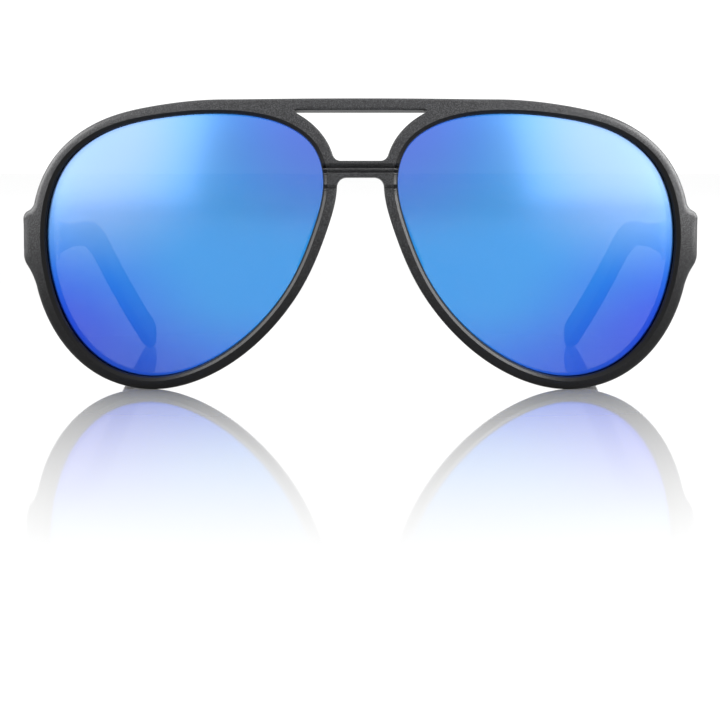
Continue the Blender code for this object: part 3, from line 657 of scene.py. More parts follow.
def turned(profile, sides, axis, place):
    """Closed mesh turned round an axis from (radius, along) pairs, both ends flat."""
    turn = Vector((0, 0, 1)).rotation_difference(Vector(axis)).to_matrix()
    angles = [2 * math.pi * (k + 0.5) / sides for k in range(sides)]
    return lofted([[turn @ Vector((radius * math.cos(a), radius * math.sin(a), along))
                    + Vector(place) for a in angles] for radius, along in profile])


def box(low, high):
    """Closed box mesh, used only as a tool or a web."""
    corners = [(low[0], low[1]), (high[0], low[1]), (high[0], high[1]), (low[0], high[1])]
    return lofted([[Vector((x, y, z)) for x, y in corners] for z in (low[2], high[2])])


def finished(bm):
    """A mesh with every face looking out."""
    bmesh.ops.recalc_face_normals(bm, faces=bm.faces)
    if bm.calc_volume(signed=True) < 0:
        bmesh.ops.reverse_faces(bm, faces=bm.faces)
    mesh = bpy.data.meshes.new("piece")
    bm.to_mesh(mesh)
    bm.free()
    return mesh


def combined(base, tools, operation):
    """The base mesh joined with, or cut by, the tool meshes."""
    body, *helpers = [bpy.data.objects.new("solid", mesh) for mesh in (base, *tools)]
    for solid in (body, *helpers):
        bpy.context.scene.collection.objects.link(solid)
    for helper in helpers:
        boolean = body.modifiers.new("boolean", "BOOLEAN")
        boolean.operation = operation
        boolean.solver = "EXACT"
        boolean.object = helper
    graph = bpy.context.evaluated_depsgraph_get()
    result = bpy.data.meshes.new_from_object(body.evaluated_get(graph))
    for solid in (body, *helpers):
        bpy.data.objects.remove(solid)
    return result


def flipped(mesh):
    """A mirror image of a mesh across x = 0."""
    bm = bmesh.new()
    bm.from_mesh(mesh)
    bm.transform(Matrix.Diagonal((-1, 1, 1, 1)))
    return finished(bm)


def with_mirrored(meshes):
    """Meshes for one side, followed by those for the other."""
    return meshes + [flipped(mesh) for mesh in meshes]


def add_piece(name, mesh, finishes, body, slot, replaces=(), sharp=38.0):
    """A piece from a mesh of the design: placed in the frame, shaded, and riding on its body."""
    mesh.name = name
    mesh.transform(TO_FRAME)
    for finish in finishes:
        mesh.materials.append(finish)
    mesh.shade_smooth()
    mesh.set_sharp_from_angle(angle=math.radians(sharp))
    piece = bpy.data.objects.new(name, mesh)
    bpy.context.scene.collection.objects.link(piece)
    normals = piece.modifiers.new("even shading", "WEIGHTED_NORMAL")
    normals.keep_sharp = True
    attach(piece, body)
    if replaces:
        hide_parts(*replaces)
    return piece


def both_sides(name, mesh, finishes, slot, moving=False, **options):
    """The left piece and its mirror image, each in place of the CAD node of the same name."""
    for side, sign in SIDES:
        shape = mesh.copy() if sign > 0 else flipped(mesh)
        body = f"{side}_temple" if moving else "front"
        add_piece(f"{side}_{name}_finished", shape, finishes, body, slot,
                  [f"{side}_{name}"], **options)


# ---------------------------------------------------------------- materials

WHITE = (1.0, 1.0, 1.0)
# Lighter nylon on the edges: painted highlight, partly wear.
WORN_AND_HIGHLIT_NYLON = (0.10, 0.10, 0.105, 1)
RUBBER_DUST = (0.055, 0.054, 0.053, 1)
SMOKE_DARK = (0.014, 0.017, 0.022, 1)
SMOKE_PALE = (0.019, 0.022, 0.027, 1)
SMOKE_OPACITY = 0.92


def put(tree, value, socket):
    """Feed a socket from another socket, or set its own value."""
    if isinstance(value, bpy.types.NodeSocket):
        tree.links.new(value, socket)
    else:
        socket.default_value = value


def feed(tree, node, inputs):
    """Feed inputs of a node, by name or number, from sockets or plain values."""
    for key, value in inputs.items():
        put(tree, value, node.inputs[key])


def add_node(tree, kind, inputs=None, **settings):
    """A node with its settings and its inputs."""
    node = tree.nodes.new(kind)
    for key, value in settings.items():
        setattr(node, key, value)
    feed(tree, node, inputs or {})
    return node


def calc(tree, operation, a, b):
    """The value of a sum, difference or product of two values."""
    return add_node(tree, "ShaderNodeMath", {0: a, 1: b}, operation=operation).outputs[0]


def plus(tree, a, b):
    return calc(tree, "ADD", a, b)


def minus(tree, a, b):
    return calc(tree, "SUBTRACT", a, b)


def times(tree, a, b):
    return calc(tree, "MULTIPLY", a, b)


def blend_colour(tree, share, first, second):
    """First colour where the share is 0, second where it is 1."""
    mix = add_node(tree, "ShaderNodeMix", data_type="RGBA")
    feed(tree, mix, {"Factor": share, "A": first, "B": second})
    return mix.outputs["Result"]


def rise(tree, value, low, high, bottom=0.0, top=1.0):
    """Eased change from bottom to top as the value goes from low to high."""
    node = add_node(tree, "ShaderNodeMapRange",
                    {"Value": value, "From Min": low, "From Max": high,
                     "To Min": bottom, "To Max": top}, interpolation_type="SMOOTHSTEP")
    return node.outputs["Result"]


def noise(tree, vector, scale, detail=2.0, roughness=0.5):
    """Noise between 0 and 1, with scale features per metre."""
    node = add_node(tree, "ShaderNodeTexNoise",
                    {"Vector": vector, "Scale": scale, "Detail": detail, "Roughness": roughness})
    return node.outputs["Fac"]


def own_place(tree):
    """Places in the piece's own coordinates, which are the frame's."""
    return add_node(tree, "ShaderNodeTexCoord").outputs["Object"]


def built_once(store):
    """Decorator for a function named after what it builds, which bpy.data then keeps."""
    def decorate(build):
        def once(*settings):
            kept = getattr(bpy.data, store)
            if build.__name__ not in kept:
                build(build.__name__, *settings)
            return kept[build.__name__]
        return once
    return decorate


def new_group(name, inputs, outputs):
    """An empty shader node group with float inputs and float outputs, and its end nodes."""
    group = bpy.data.node_groups.new(name, "ShaderNodeTree")
    for label, value in inputs:
        socket = group.interface.new_socket(label, in_out="INPUT", socket_type="NodeSocketFloat")
        socket.default_value = value
    for label in outputs:
        group.interface.new_socket(label, in_out="OUTPUT", socket_type="NodeSocketFloat")
    return group, group.nodes.new("NodeGroupInput"), group.nodes.new("NodeGroupOutput")


@built_once("node_groups")
def moulded_grain(name):
    """Moulded grain: its height, and a mask of flecks, painted as glints on the nylon and as dust
    on the rubber.
    """
    group, given, made = new_group(name, [("Features per metre", 3500.0)], ["Height", "Flecks"])
    place = own_place(group)
    scale = given.outputs["Features per metre"]
    height = noise(group, place, scale, detail=3.0, roughness=0.6)
    fine = noise(group, place, times(group, scale, 1.2), roughness=0.7)
    feed(group, made, {"Height": height, "Flecks": rise(group, fine, 0.42, 0.66)})


@built_once("node_groups")
def edge_wear(name):
    """Edges polished by handling, and on the nylon also painted lighter as highlight: a mask that
    is broken up along the edge.
    """
    group, given, made = new_group(name, [("Radius", 0.0003), ("Breaks per metre", 900.0)],
                                   ["Wear_and_highlight"])
    soft = add_node(group, "ShaderNodeBevel", {"Radius": given.outputs["Radius"]}, samples=4)
    face = add_node(group, "ShaderNodeNewGeometry").outputs["Normal"]
    alike = add_node(group, "ShaderNodeVectorMath", {0: soft.outputs["Normal"], 1: face},
                     operation="DOT_PRODUCT").outputs["Value"]
    breaks = noise(group, own_place(group), given.outputs["Breaks per metre"])
    breaks = rise(group, breaks, 0.35, 0.65, bottom=0.5)
    edge = rise(group, minus(group, 1.0, alike), 0.01, 0.2)
    feed(group, made, {"Wear_and_highlight": times(group, edge, breaks)})


@built_once("node_groups")
def handling_marks(name):
    """Broad, faint marks of handling, between 0 and 1."""
    group, given, made = new_group(name, [("Marks per metre", 60.0)], ["Marks"])
    place = own_place(group)
    scale = given.outputs["Marks per metre"]
    finer, broad_share = 9.0, 0.7
    broad = noise(group, place, scale)
    streaks = noise(group, place, times(group, scale, finer), detail=4.0, roughness=0.7)
    mixed = plus(group, times(group, broad, broad_share), times(group, streaks, 0.3))
    feed(group, made, {"Marks": rise(group, mixed, 0.38, 0.62)})


def labelled(values):
    """Values by the labels of their sockets, from names with _ for each space."""
    return {name.replace("_", " "): value for name, value in values.items()}


def use_group(tree, group, **values):
    """The outputs of a group that is placed with its own values."""
    return add_node(tree, "ShaderNodeGroup", labelled(values), node_tree=group).outputs


def new_material(name, **values):
    """A material's node tree and its shader, with plain values set on the shader."""
    made = bpy.data.materials.new(name)
    made.use_nodes = True
    shader = made.node_tree.nodes["Principled BSDF"]
    feed(made.node_tree, shader, labelled(values))
    return made.node_tree, shader


def rgba(colour):
    """A colour as a colour socket takes it."""
    return (*colour, 1.0)


def raised(tree, height, distance):
    """A normal from a height in 0 to 1, raised over the given distance in metres."""
    bump = add_node(tree, "ShaderNodeBump", {"Height": height, "Distance": distance})
    return bump.outputs["Normal"]


def marked(tree, marks, smooth, change):
    """A roughness that starts from smooth and changes with the marks."""
    return plus(tree, smooth, times(tree, marks, change))


@built_once("materials")
def satin_nylon(name, finish):
    """Satin black moulded nylon, lighter high up and darker low down as painted light and shade;
    painted glints and edge highlights; its edges polished by handling.
    """
    painted_shade_from, flecks_to, fewest_flecks = 0.01, 0.055, 0.08
    wear_and_highlight_share, wear_polish, marks_spread = 0.3, 0.2, 0.06
    tree, shader = new_material(name, Specular_IOR_Level=0.25)
    grain = use_group(tree, moulded_grain(), Features_per_metre=1 / finish.grain)
    wear_and_highlight = use_group(tree, edge_wear(), Radius=0.00025, Breaks_per_metre=900.0)
    marks = use_group(tree, handling_marks(), Marks_per_metre=45.0)
    height = add_node(tree, "ShaderNodeSeparateXYZ", {"Vector": own_place(tree)}).outputs["Z"]
    # Painted light and shade: lighter high up, darker low down.
    colour = blend_colour(tree, rise(tree, height, painted_shade_from, CAD_HIGH.z),
                          rgba(finish.nylon_low), rgba(finish.nylon))
    # Flecks of grain painted lighter as glints, and painted fewer low down as shade.
    glint_flecks = times(tree, grain["Flecks"], rise(tree, height, painted_shade_from, flecks_to, fewest_flecks))
    colour = blend_colour(tree, glint_flecks, colour, rgba(finish.nylon_fleck))
    # Painted shade on the slope round each lens, in the dark low-down colour.
    seat = add_node(tree, "ShaderNodeAttribute", attribute_name="lens_seat_painted_shade").outputs["Fac"]
    colour = blend_colour(tree, seat, colour, rgba(finish.nylon_low))
    # Edges painted lighter as highlight, partly wear; the same edges are polished smoother.
    worn_and_highlit = times(tree, wear_and_highlight["Wear_and_highlight"], wear_and_highlight_share)
    rough = marked(tree, marks["Marks"], finish.nylon_roughness - marks_spread / 2, marks_spread)
    feed(tree, shader, {
        "Base Color": blend_colour(tree, worn_and_highlit, colour, WORN_AND_HIGHLIT_NYLON),
        "Roughness": minus(tree, rough, times(tree, worn_and_highlit, wear_polish)),
        "Normal": raised(tree, grain["Height"], finish.grain_height)})


@built_once("materials")
def soft_rubber(name, finish):
    """Matte rubber, a little dusty in its grain."""
    finer, deeper, dust_share = 1.6, 1.5, 0.5
    tree, shader = new_material(name, Specular_IOR_Level=0.4, Sheen_Weight=0.08,
                                Sheen_Roughness=0.5)
    grain = use_group(tree, moulded_grain(), Features_per_metre=finer / finish.grain)
    marks = use_group(tree, handling_marks(), Marks_per_metre=80.0)
    dusty = times(tree, times(tree, grain["Flecks"], dust_share), marks["Marks"])
    feed(tree, shader, {
        "Base Color": blend_colour(tree, dusty, rgba(finish.rubber), RUBBER_DUST),
        "Roughness": marked(tree, marks["Marks"], smooth=0.62, change=0.12),
        "Normal": raised(tree, grain["Height"], finish.grain_height * deeper)})


@built_once("materials")
def brushed_steel(name, finish):
    """Brushed steel with polished edges."""
    darker, brighter, brush_marks, brush_height = 0.82, 1.25, 9000.0, 0.000004
    tree, shader = new_material(name, Metallic=1.0)
    stretched = add_node(tree, "ShaderNodeMapping",
                         {"Vector": own_place(tree), "Scale": (1.0, 0.06, 1.0)})
    brushed = noise(tree, stretched.outputs["Vector"], brush_marks, detail=3.0, roughness=0.65)
    wear_and_highlight = use_group(tree, edge_wear(), Radius=0.00012, Breaks_per_metre=2500.0)
    marks = use_group(tree, handling_marks(), Marks_per_metre=300.0)
    steel = np.array(finish.steel)
    tone = blend_colour(tree, marks["Marks"], rgba(steel * darker), rgba(steel))
    feed(tree, shader, {
        "Base Color": blend_colour(tree, wear_and_highlight["Wear_and_highlight"], tone, rgba(steel * brighter)),
        "Roughness": marked(tree, brushed, smooth=0.3, change=0.22),
        "Normal": raised(tree, brushed, brush_height)})


def from_spot(tree, place, spot, near, far):
    """1 within the near distance of a spot on the lens and 0 from the far one."""
    off = add_node(tree, "ShaderNodeCombineXYZ",
                   {"X": minus(tree, place["X"], spot[0]), "Y": minus(tree, place["Y"], spot[1])})
    away = add_node(tree, "ShaderNodeVectorMath", {0: off.outputs[0]}, operation="LENGTH")
    return rise(tree, away.outputs["Value"], near, far, bottom=1.0, top=0.0)


def seen_from_outside(tree, opacity):
    """Opacity for rays that meet the surface from outside, and none from within the lens."""
    behind = add_node(tree, "ShaderNodeNewGeometry").outputs["Backfacing"]
    return times(tree, minus(tree, 1.0, behind), opacity)


@built_once("materials")
def blue_mirror_coating(name, lens):
    """Blue mirror coating with painted reflections: violet at the upper nose corner, deeper blue as
    painted shade low down and at the lower temple side, and a painted highlight towards the upper
    temple side.
    """
    tree, shader = new_material(name, Metallic=1.0, Coat_Weight=0.6, Coat_Roughness=0.12)
    where = add_node(tree, "ShaderNodeUVMap", uv_map="lens_plan").outputs["UV"]
    place = add_node(tree, "ShaderNodeSeparateXYZ", {"Vector": where}).outputs
    low_to, low_share = 0.3, 0.7
    colour = rgba(lens.middle)
    # Painted reflections, shade and highlight laid over the coating by place on the lens.
    for tint, share in (
            (lens.deep, from_spot(tree, place, (1.05, -0.05), near=0.15, far=0.8)),
            (lens.violet, from_spot(tree, place, (-0.05, 1.0), near=0.1, far=0.55)),
            (lens.low, times(tree, rise(tree, place["Y"], low_to, 0.0), low_share)),
            (lens.glow, from_spot(tree, place, (0.85, 0.95), near=0.15, far=0.62))):
        colour = blend_colour(tree, share, colour, rgba(tint))
    marks = use_group(tree, handling_marks(), Marks_per_metre=35.0)
    feed(tree, shader, {"Base Color": colour,
                        "Roughness": marked(tree, marks["Marks"], lens.roughness, change=0.03),
                        "Alpha": seen_from_outside(tree, lens.opacity)})


@built_once("materials")
def smoke_tint(name):
    """Dark smoke tint of the inner face and the edge of a lens."""
    tree, shader = new_material(name, Coat_Weight=0.2, Coat_Roughness=0.08,
                                Specular_IOR_Level=0.3)
    marks = use_group(tree, handling_marks(), Marks_per_metre=50.0)
    feed(tree, shader, {"Base Color": blend_colour(tree, marks["Marks"], SMOKE_DARK, SMOKE_PALE),
                        "Roughness": marked(tree, marks["Marks"], smooth=0.07, change=0.05),
                        "Alpha": seen_from_outside(tree, SMOKE_OPACITY)})


# ---------------------------------------------------------------- moulded front

def edge_sizes(front, x, z):
    """(reach over the face, depth) of the front edge's rounding at a point of an outline."""
    across = abs(x)
    strap = ((1 - smooth_rise(across, *STRAP_TO_NOSE))
             * (1 - smooth_rise(abs(z - STRAP_TOP), *STRAP_UP_DOWN)))
    reach = front.nose_round
    reach += smooth_rise(across, *NOSE_TO_RIM) * (front.crown - front.nose_round)
    reach += smooth_rise(across, *RIM_TO_TAB) * (front.tab_crown - reach)
    reach += strap * (front.strap_round - reach)
    depth = EDGE_ROUND * MM + strap * (front.strap_round - EDGE_ROUND * MM)
    return reach / MM, depth / MM


def sized_edge(front, loop):
    """A thinned outline with its edge sizes, the reach held below the corners' own radius."""
    apart, share_of_radius, least_bend, spread = 4, 0.6, 0.01, 9
    sizes = np.array([edge_sizes(front, x, z) for x, z in loop])

    def change(values):
        return np.roll(values, -apart, axis=0) - np.roll(values, apart, axis=0)

    run = change(loop)
    bend = (change(outward_normals(loop)) * run).sum(axis=1) / (run ** 2).sum(axis=1)
    reach = np.minimum(sizes[:, 0], share_of_radius / np.maximum(bend, least_bend))
    lowest = np.min([np.roll(reach, shift) for shift in range(-spread, spread + 1)], axis=0)
    return thinned(loop, settled(lowest, spread), sizes[:, 1])


def relief(front, x, z):
    """Depth of the lower bridge's grooves and plate at a point of the front."""
    if not by_the_bridge(x, z):
        return 0.0
    heights, depths = zip(*SADDLE_PROFILE)
    return front.relief * float(np.interp(z - STRAP_BOTTOM, heights, depths))


def front_point(front, x, z, depth):
    """A point under the front surface, with the relief running out by the lens lip's depth."""
    return shell_point(x, z, depth + relief(front, x, z) * max(0.0, 1 - depth / LIP))


def ring_at(bm, table, inset, depth, place=shell_point):
    """A ring of vertices along a loop table, moved along its normals and set under the front."""
    places = zip(table[:, :4], np.broadcast_to(inset, len(table)),
                 np.broadcast_to(depth, len(table)))
    return [bm.verts.new(place(x + out * normal_x, z + out * normal_z, deep))
            for (x, z, normal_x, normal_z), out, deep in places]


def edge_rings(bm, front, table, into):
    """Rings round an open edge: front rounding, wall and back rounding."""
    reach, depth = table[:, 4], table[:, 5]
    quarter = np.linspace(0, math.pi / 2, 9)
    rings = [ring_at(bm, table, into * reach * (1 - math.sin(a)), depth * (1 - math.cos(a)),
                     partial(front_point, front)) for a in quarter]
    rings += [ring_at(bm, table, into * EDGE_ROUND * (1 - math.sin(a)),
                      RIM_DEPTH - EDGE_ROUND * (1 - math.cos(a))) for a in quarter[::-1]]
    join_rings(bm, rings)
    return rings


def lens_opening_rings(bm, front, table):
    """Rings round a lens opening: slope, ledge, lip, groove and back edge."""
    width = table[:, 4]
    rings = [ring_at(bm, table, share * width, depth, partial(front_point, front))
             for share, depth in LENS_SLOPE]
    rings += [ring_at(bm, table, inset, depth) for inset, depth in LENS_GROOVE]
    # The slope and the groove round the lens take painted shade.
    seat = bm.verts.layers.float["lens_seat_painted_shade"]
    for vert in (v for ring in rings[1:] for v in ring):
        vert[seat] = 1.0
    join_rings(bm, rings)
    return rings


def face_points(bm, front, rings):
    """Vertices over the front face: rows along the bridge relief and an even grid elsewhere."""
    row_step, row_clear, grid_step = 0.4, 0.09, 1.5
    loops = [plan(ring) for ring in rings]
    rows = np.arange(-SADDLE_REACH, SADDLE_REACH + row_step / 2, row_step)
    points, lines = [], []
    for height, _ in SADDLE_PROFILE:
        row = np.array([(x, STRAP_BOTTOM + height) for x in rows])
        good = within(row, loops, row_clear)
        for i in np.flatnonzero(good):
            if i and good[i - 1]:
                lines.append((len(points) - 1, len(points)))
            points.append(row[i])
    grid = np.array([(x, z) for x in np.arange(-TAB_X, TAB_X, grid_step)
                     for z in np.arange(0, BROW_TOP, grid_step) if not by_the_bridge(x, z)])
    points += list(grid[within(grid, loops, 0.45 * grid_step)])
    return [bm.verts.new(front_point(front, x, z, 0.0)) for x, z in points], lines


def lug_mesh():
    """The endpiece behind the rim, eased from the tab's shape to the temple's root."""
    skin, edge, half = 0.1, 0.3, TEMPLE_ROOT_HEIGHT / 2
    change_from, change_to = 0.1, 0.95
    inner = LUG_INNER + EDGE_ROUND
    front = [(TAB_X - skin, TAB_TOP - skin), (inner, TAB_TOP + TAB_FLARE_TOP),
             (inner, TAB_BOTTOM - TAB_FLARE_BOTTOM), (TAB_X - skin, TAB_BOTTOM + skin)]
    start = [shell_point(x, z, EDGE_ROUND) for x, z in rounded_quad(front, SECTION_ROUND)]

    def end_ring(inset):
        low, high = LUG_INNER + inset, LUG_OUTER - inset
        top, bottom = HINGE_Z + half - inset, HINGE_Z - half + inset
        return rounded_quad([(high, top), (low, top), (low, bottom), (high, bottom)],
                            SECTION_ROUND)

    sections = []
    for t in np.linspace(0, 1, 19):
        share = smooth_rise(t, change_from, change_to)
        sections.append([Vector((p.x + (x - p.x) * share, p.y + (JOINT_Y - edge - p.y) * t,
                                 p.z + (z - p.z) * share))
                         for p, (x, z) in zip(start, end_ring(0.0))])
    for a in np.linspace(0, math.pi / 2, 5)[1:]:
        y = JOINT_Y - edge * (1 - math.sin(a))
        sections.append([Vector((x, y, z)) for x, z in end_ring(edge * (1 - math.cos(a)))])
    return lofted(sections)


def along_nose(inset, width, painted_shade_from, deep_to, taper, corner, stations=41):
    """Closed strip behind the nose side of the rim, slimmer and round at its ends."""
    slimming, snubbing, least_taper, least_snub = 3, 14, 0.05, 0.25
    edge = np.hstack([RIM_LOOP, outward_normals(RIM_LOOP)])[RIM_LOWEST:]
    edge = edge[(edge[:, 1] > PAD_FROM) & (edge[:, 1] < PAD_FROM + PAD_LENGTH)]
    sections = []
    for t in (1 - np.cos(np.linspace(0, math.pi, stations))) / 2:
        x, z, normal_x, normal_z = [np.interp(t * (len(edge) - 1), range(len(edge)), column)
                                    for column in edge.T]
        out = abs(2 * t - 1)
        size = (max(1 - out ** slimming * taper, least_taper)
                * max(math.sqrt(1 - out ** snubbing), least_snub))
        section = []
        for across, deep in rounded_rectangle(width * size, (deep_to - painted_shade_from) * size, corner):
            away = inset + width / 2 + across
            section.append(shell_point(x - away * normal_x, z - away * normal_z,
                                       (painted_shade_from + deep_to) / 2 + deep))
        sections.append(section)
    return lofted(sections)


def front_mesh(front):
    """The one-piece front: two rims, brow bar, lower bridge, endpieces and nose flanges."""
    bm = bmesh.new()
    # Layer for the painted shade round the lens openings.
    bm.verts.layers.float.new("lens_seat_painted_shade")
    lens = thinned(LENS_LOOP, settled(by_direction(outward_normals(LENS_LOOP), BEVEL_WIDTHS)))
    edges = [edge_rings(bm, front, sized_edge(front, front_outline()), -1),
             edge_rings(bm, front, sized_edge(front, window_outline()), 1),
             lens_opening_rings(bm, front, lens),
             lens_opening_rings(bm, front, mirrored(lens))]
    faces = [rings[0] for rings in edges]
    fill_between(bm, faces, *face_points(bm, front, faces))
    fill_between(bm, [rings[-1] for rings in edges])
    flange = along_nose(PAD_THICKNESS + 2 * GAP, FLANGE_THICKNESS, RIM_DEPTH - 0.5,
                        RIM_DEPTH + PAD_WIDTH, taper=0.35, corner=0.5)
    whole = combined(finished(bm), with_mirrored([lug_mesh(), flange]), "UNION")
    return combined(whole, with_mirrored(screw_holes(front_screw_places())), "DIFFERENCE")


# ---------------------------------------------------------------- lenses and nose pads

def lens_mesh():
    """A lens blank cut to the groove; its front face takes finish 0 and the rest finish 1."""
    bm = bmesh.new()
    table = thinned(LENS_LOOP)
    grown, front, back = GROOVE_BITE - GAP, LIP + GAP, LIP + GAP + LENS_THICKNESS
    profile = [(grown - LENS_EASE, front), (grown, front + LENS_EASE), (grown, back - LENS_EASE),
               (grown - LENS_EASE, back)]
    rings = [ring_at(bm, table, inset, depth) for inset, depth in profile]
    for face in join_rings(bm, rings):
        face.material_index = 1
    step = 1.6
    grid = np.array([(x, z) for x in np.arange(LENS_INNER, LENS_OUTER, step)
                     for z in np.arange(LENS_BOTTOM, LENS_TOP, step)])
    for ring, depth, finish in ((rings[0], front, 0), (rings[-1], back, 1)):
        points = grid[within(grid, [plan(ring)], 0.6 * step)]
        extra = [bm.verts.new(shell_point(x, z, depth)) for x, z in points]
        for face in fill_between(bm, [ring], extra):
            face.material_index = finish
    layer = bm.loops.layers.uv.new("lens_plan")
    for corner in (loop for face in bm.faces for loop in face.loops):
        place = corner.vert.co
        corner[layer].uv = ((place.x - LENS_INNER) / LENS_WIDTH,
                            (place.z - LENS_BOTTOM) / LENS_HEIGHT)
    return finished(bm)


def nose_pad_mesh():
    """A soft pad on the inner side of its flange."""
    back = RIM_DEPTH + GAP
    return along_nose(GAP, PAD_THICKNESS, back, back + PAD_WIDTH, taper=0.75, corner=0.62,
                      stations=61)


# ---------------------------------------------------------------- hinges

def screw_holes(places):
    """Tools that cut a hole for each leaf screw."""
    radius, length = LEAF_SCREW_RADIUS + PIN_CLEARANCE, LEAF_SCREW_LENGTH + GAP
    return [turned([(radius, -length), (radius, length)], 24, ALONG_X, place) for place in places]


def front_screw_places():
    """Where the upper and the lower screw go through the front leaf."""
    y = FRONT_LEAF_END - FRONT_LEAF_LENGTH / 2
    return [Vector((LEAF_OUTER, y, HINGE_Z + side * FRONT_SCREW_SPREAD / 2)) for side in (1, -1)]


def temple_screw_places():
    """Where the front and the rear screw go through the temple leaf."""
    end = TEMPLE_LEAF_START + TEMPLE_LEAF_LENGTH
    return [Vector((LEAF_OUTER, y, HINGE_Z))
            for y in (TEMPLE_LEAF_START + TEMPLE_SCREW_INSET, end - TEMPLE_SCREW_INSET)]


def knuckle_spans():
    """Bottom and top of each knuckle, lowest first."""
    height = (LEAF_HEIGHT - (KNUCKLES - 1) * GAP) / KNUCKLES
    bottom = HINGE_Z - LEAF_HEIGHT / 2
    return [(bottom + i * (height + GAP), bottom + i * (height + GAP) + height)
            for i in range(KNUCKLES)]


def leaf_plate(start, end):
    """A flat plate with round corners and eased edges, between two places along y."""
    ease, corner = 0.14, 0.8
    profile = [(ease, 0.0), (ease * 0.3, ease * 0.3), (0.0, ease)]
    profile += [(inset, LEAF_THICKNESS - x) for inset, x in profile[::-1]]
    middle = Vector((0, (start + end) / 2, HINGE_Z))
    return lofted([[middle + Vector((LEAF_OUTER - LEAF_THICKNESS + x, across, up))
                    for across, up in rounded_rectangle(end - start - 2 * inset,
                                                        LEAF_HEIGHT - 2 * inset, corner)]
                   for inset, x in profile])


def leaf_mesh(plate_from, plate_to, spans, screws):
    """A hinge leaf: a plate, a web to each of its knuckles, and the knuckles on the pivot."""
    overlap, skin, ease, sink = 1.2, 0.02, 0.12, 0.3
    inner = LEAF_OUTER - LEAF_THICKNESS
    root = plate_to - overlap if plate_to < JOINT_Y else plate_from + overlap
    near, far = sorted((JOINT_Y, root))
    parts = []
    for low, high in spans:
        parts.append(box((inner + skin, near, low), (LEAF_OUTER - skin, far, high)))
        parts.append(turned([(KNUCKLE_RADIUS - ease, low), (KNUCKLE_RADIUS, low + ease),
                             (KNUCKLE_RADIUS, high - ease), (KNUCKLE_RADIUS - ease, high)],
                            40, ALONG_Z, PIVOT))
    whole = combined(leaf_plate(plate_from, plate_to), parts, "UNION")
    bore, reach = PIN_RADIUS + PIN_CLEARANCE, LEAF_HEIGHT / 2 + 1
    radius = LEAF_SCREW_RADIUS + PIN_CLEARANCE
    cuts = [turned([(bore, HINGE_Z - reach), (bore, HINGE_Z + reach)], 28, ALONG_Z, PIVOT)]
    cuts += [turned([(radius + sink, -LEAF_THICKNESS - sink), (radius, -LEAF_THICKNESS + sink),
                     (radius, 2 * LEAF_THICKNESS)], 28, ALONG_X, place) for place in screws]
    return combined(whole, cuts, "DIFFERENCE")


def slotted(screw, centre, along, depth):
    """A screw with a driver slot of the given depth cut into its head at the centre."""
    across = Vector((0, 1, 0))
    length = along.cross(across) * 2 * PIN_HEAD_RADIUS
    half = across * SLOT_WIDTH / 2 + along * depth + length
    low, high = centre - half, centre + half
    return combined(screw, [box([*map(min, low, high)], [*map(max, low, high)])], "DIFFERENCE")


def domed_head(radius, height, rise_share=0.45, steps=6):
    """(radius, along) pairs of a head with a domed top, from its seat up."""
    ease = 0.1 * height
    wall = height * (1 - rise_share)
    dome = [(radius * math.cos(a), wall + height * rise_share * math.sin(a))
            for a in np.linspace(0, math.radians(82), steps)]
    return [(radius - ease, 0.0), (radius, ease)] + dome


def hinge_screw_mesh():
    """The slotted screw that is the hinge's pin."""
    bottom, top, ease = HINGE_Z - LEAF_HEIGHT / 2, HINGE_Z + LEAF_HEIGHT / 2 + GAP, 0.15
    head = [(r, top + along) for r, along in domed_head(PIN_HEAD_RADIUS, PIN_HEAD_HEIGHT)]
    profile = [(PIN_RADIUS - ease, bottom), (PIN_RADIUS, bottom + ease), (PIN_RADIUS, top)] + head
    centre = PIVOT + ALONG_Z * (top + PIN_HEAD_HEIGHT)
    return slotted(turned(profile, 40, ALONG_Z, PIVOT), centre, ALONG_Z, SLOT_DEPTH + 0.08)


def leaf_screw_mesh(place):
    """Pan-head screw through a leaf, its head on the inner side."""
    seat = place - ALONG_X * (LEAF_THICKNESS + GAP)
    reach, ease = LEAF_THICKNESS + LEAF_SCREW_LENGTH, 0.15
    head = [(r, -along) for r, along in domed_head(LEAF_SCREW_HEAD, LEAF_SCREW_HEAD_HEIGHT)]
    profile = head[::-1] + [(LEAF_SCREW_RADIUS, 0.0), (LEAF_SCREW_RADIUS, reach - ease),
                            (LEAF_SCREW_RADIUS - ease, reach)]
    centre = seat - ALONG_X * LEAF_SCREW_HEAD_HEIGHT
    return slotted(turned(profile, 32, ALONG_X, seat), centre, ALONG_X, SLOT_DEPTH + 0.04)


# ---------------------------------------------------------------- temples and tips

def rest_height():
    """Height of the rim's lowest point, where its rounded front edge meets its wall."""
    x, z = RIM_LOOP[RIM_LOWEST]
    return shell_point(x, z, EDGE_ROUND).z


def temple_end():
    """Length along the temple to the middle of its round end, which stands as low as the rim."""
    arc_drop = BEND_RADIUS * (1 - math.cos(HOOK_ANGLE))
    drop = HINGE_Z - REST_Z - HOOK_HEIGHT / 2 - arc_drop
    return BEND_AT + BEND_RADIUS * HOOK_ANGLE + drop / math.sin(HOOK_ANGLE)


REST_Z = rest_height()
TEMPLE_END = temple_end()
STATIONS = [0, FLAT_LENGTH, WAIST_AT, BEND_AT, SLEEVE_AT, TEMPLE_END]
STATION_HEIGHTS = [TEMPLE_ROOT_HEIGHT, TEMPLE_SHOULDER_HEIGHT, TEMPLE_WAIST_HEIGHT,
                   TEMPLE_BEND_HEIGHT, SLEEVE_MOUTH_HEIGHT, HOOK_HEIGHT]
STATION_THICKNESS = [TEMPLE_THICKNESS, TEMPLE_THICKNESS, TEMPLE_WAIST_THICKNESS,
                     TEMPLE_WAIST_THICKNESS, HOOK_THICKNESS, HOOK_THICKNESS]


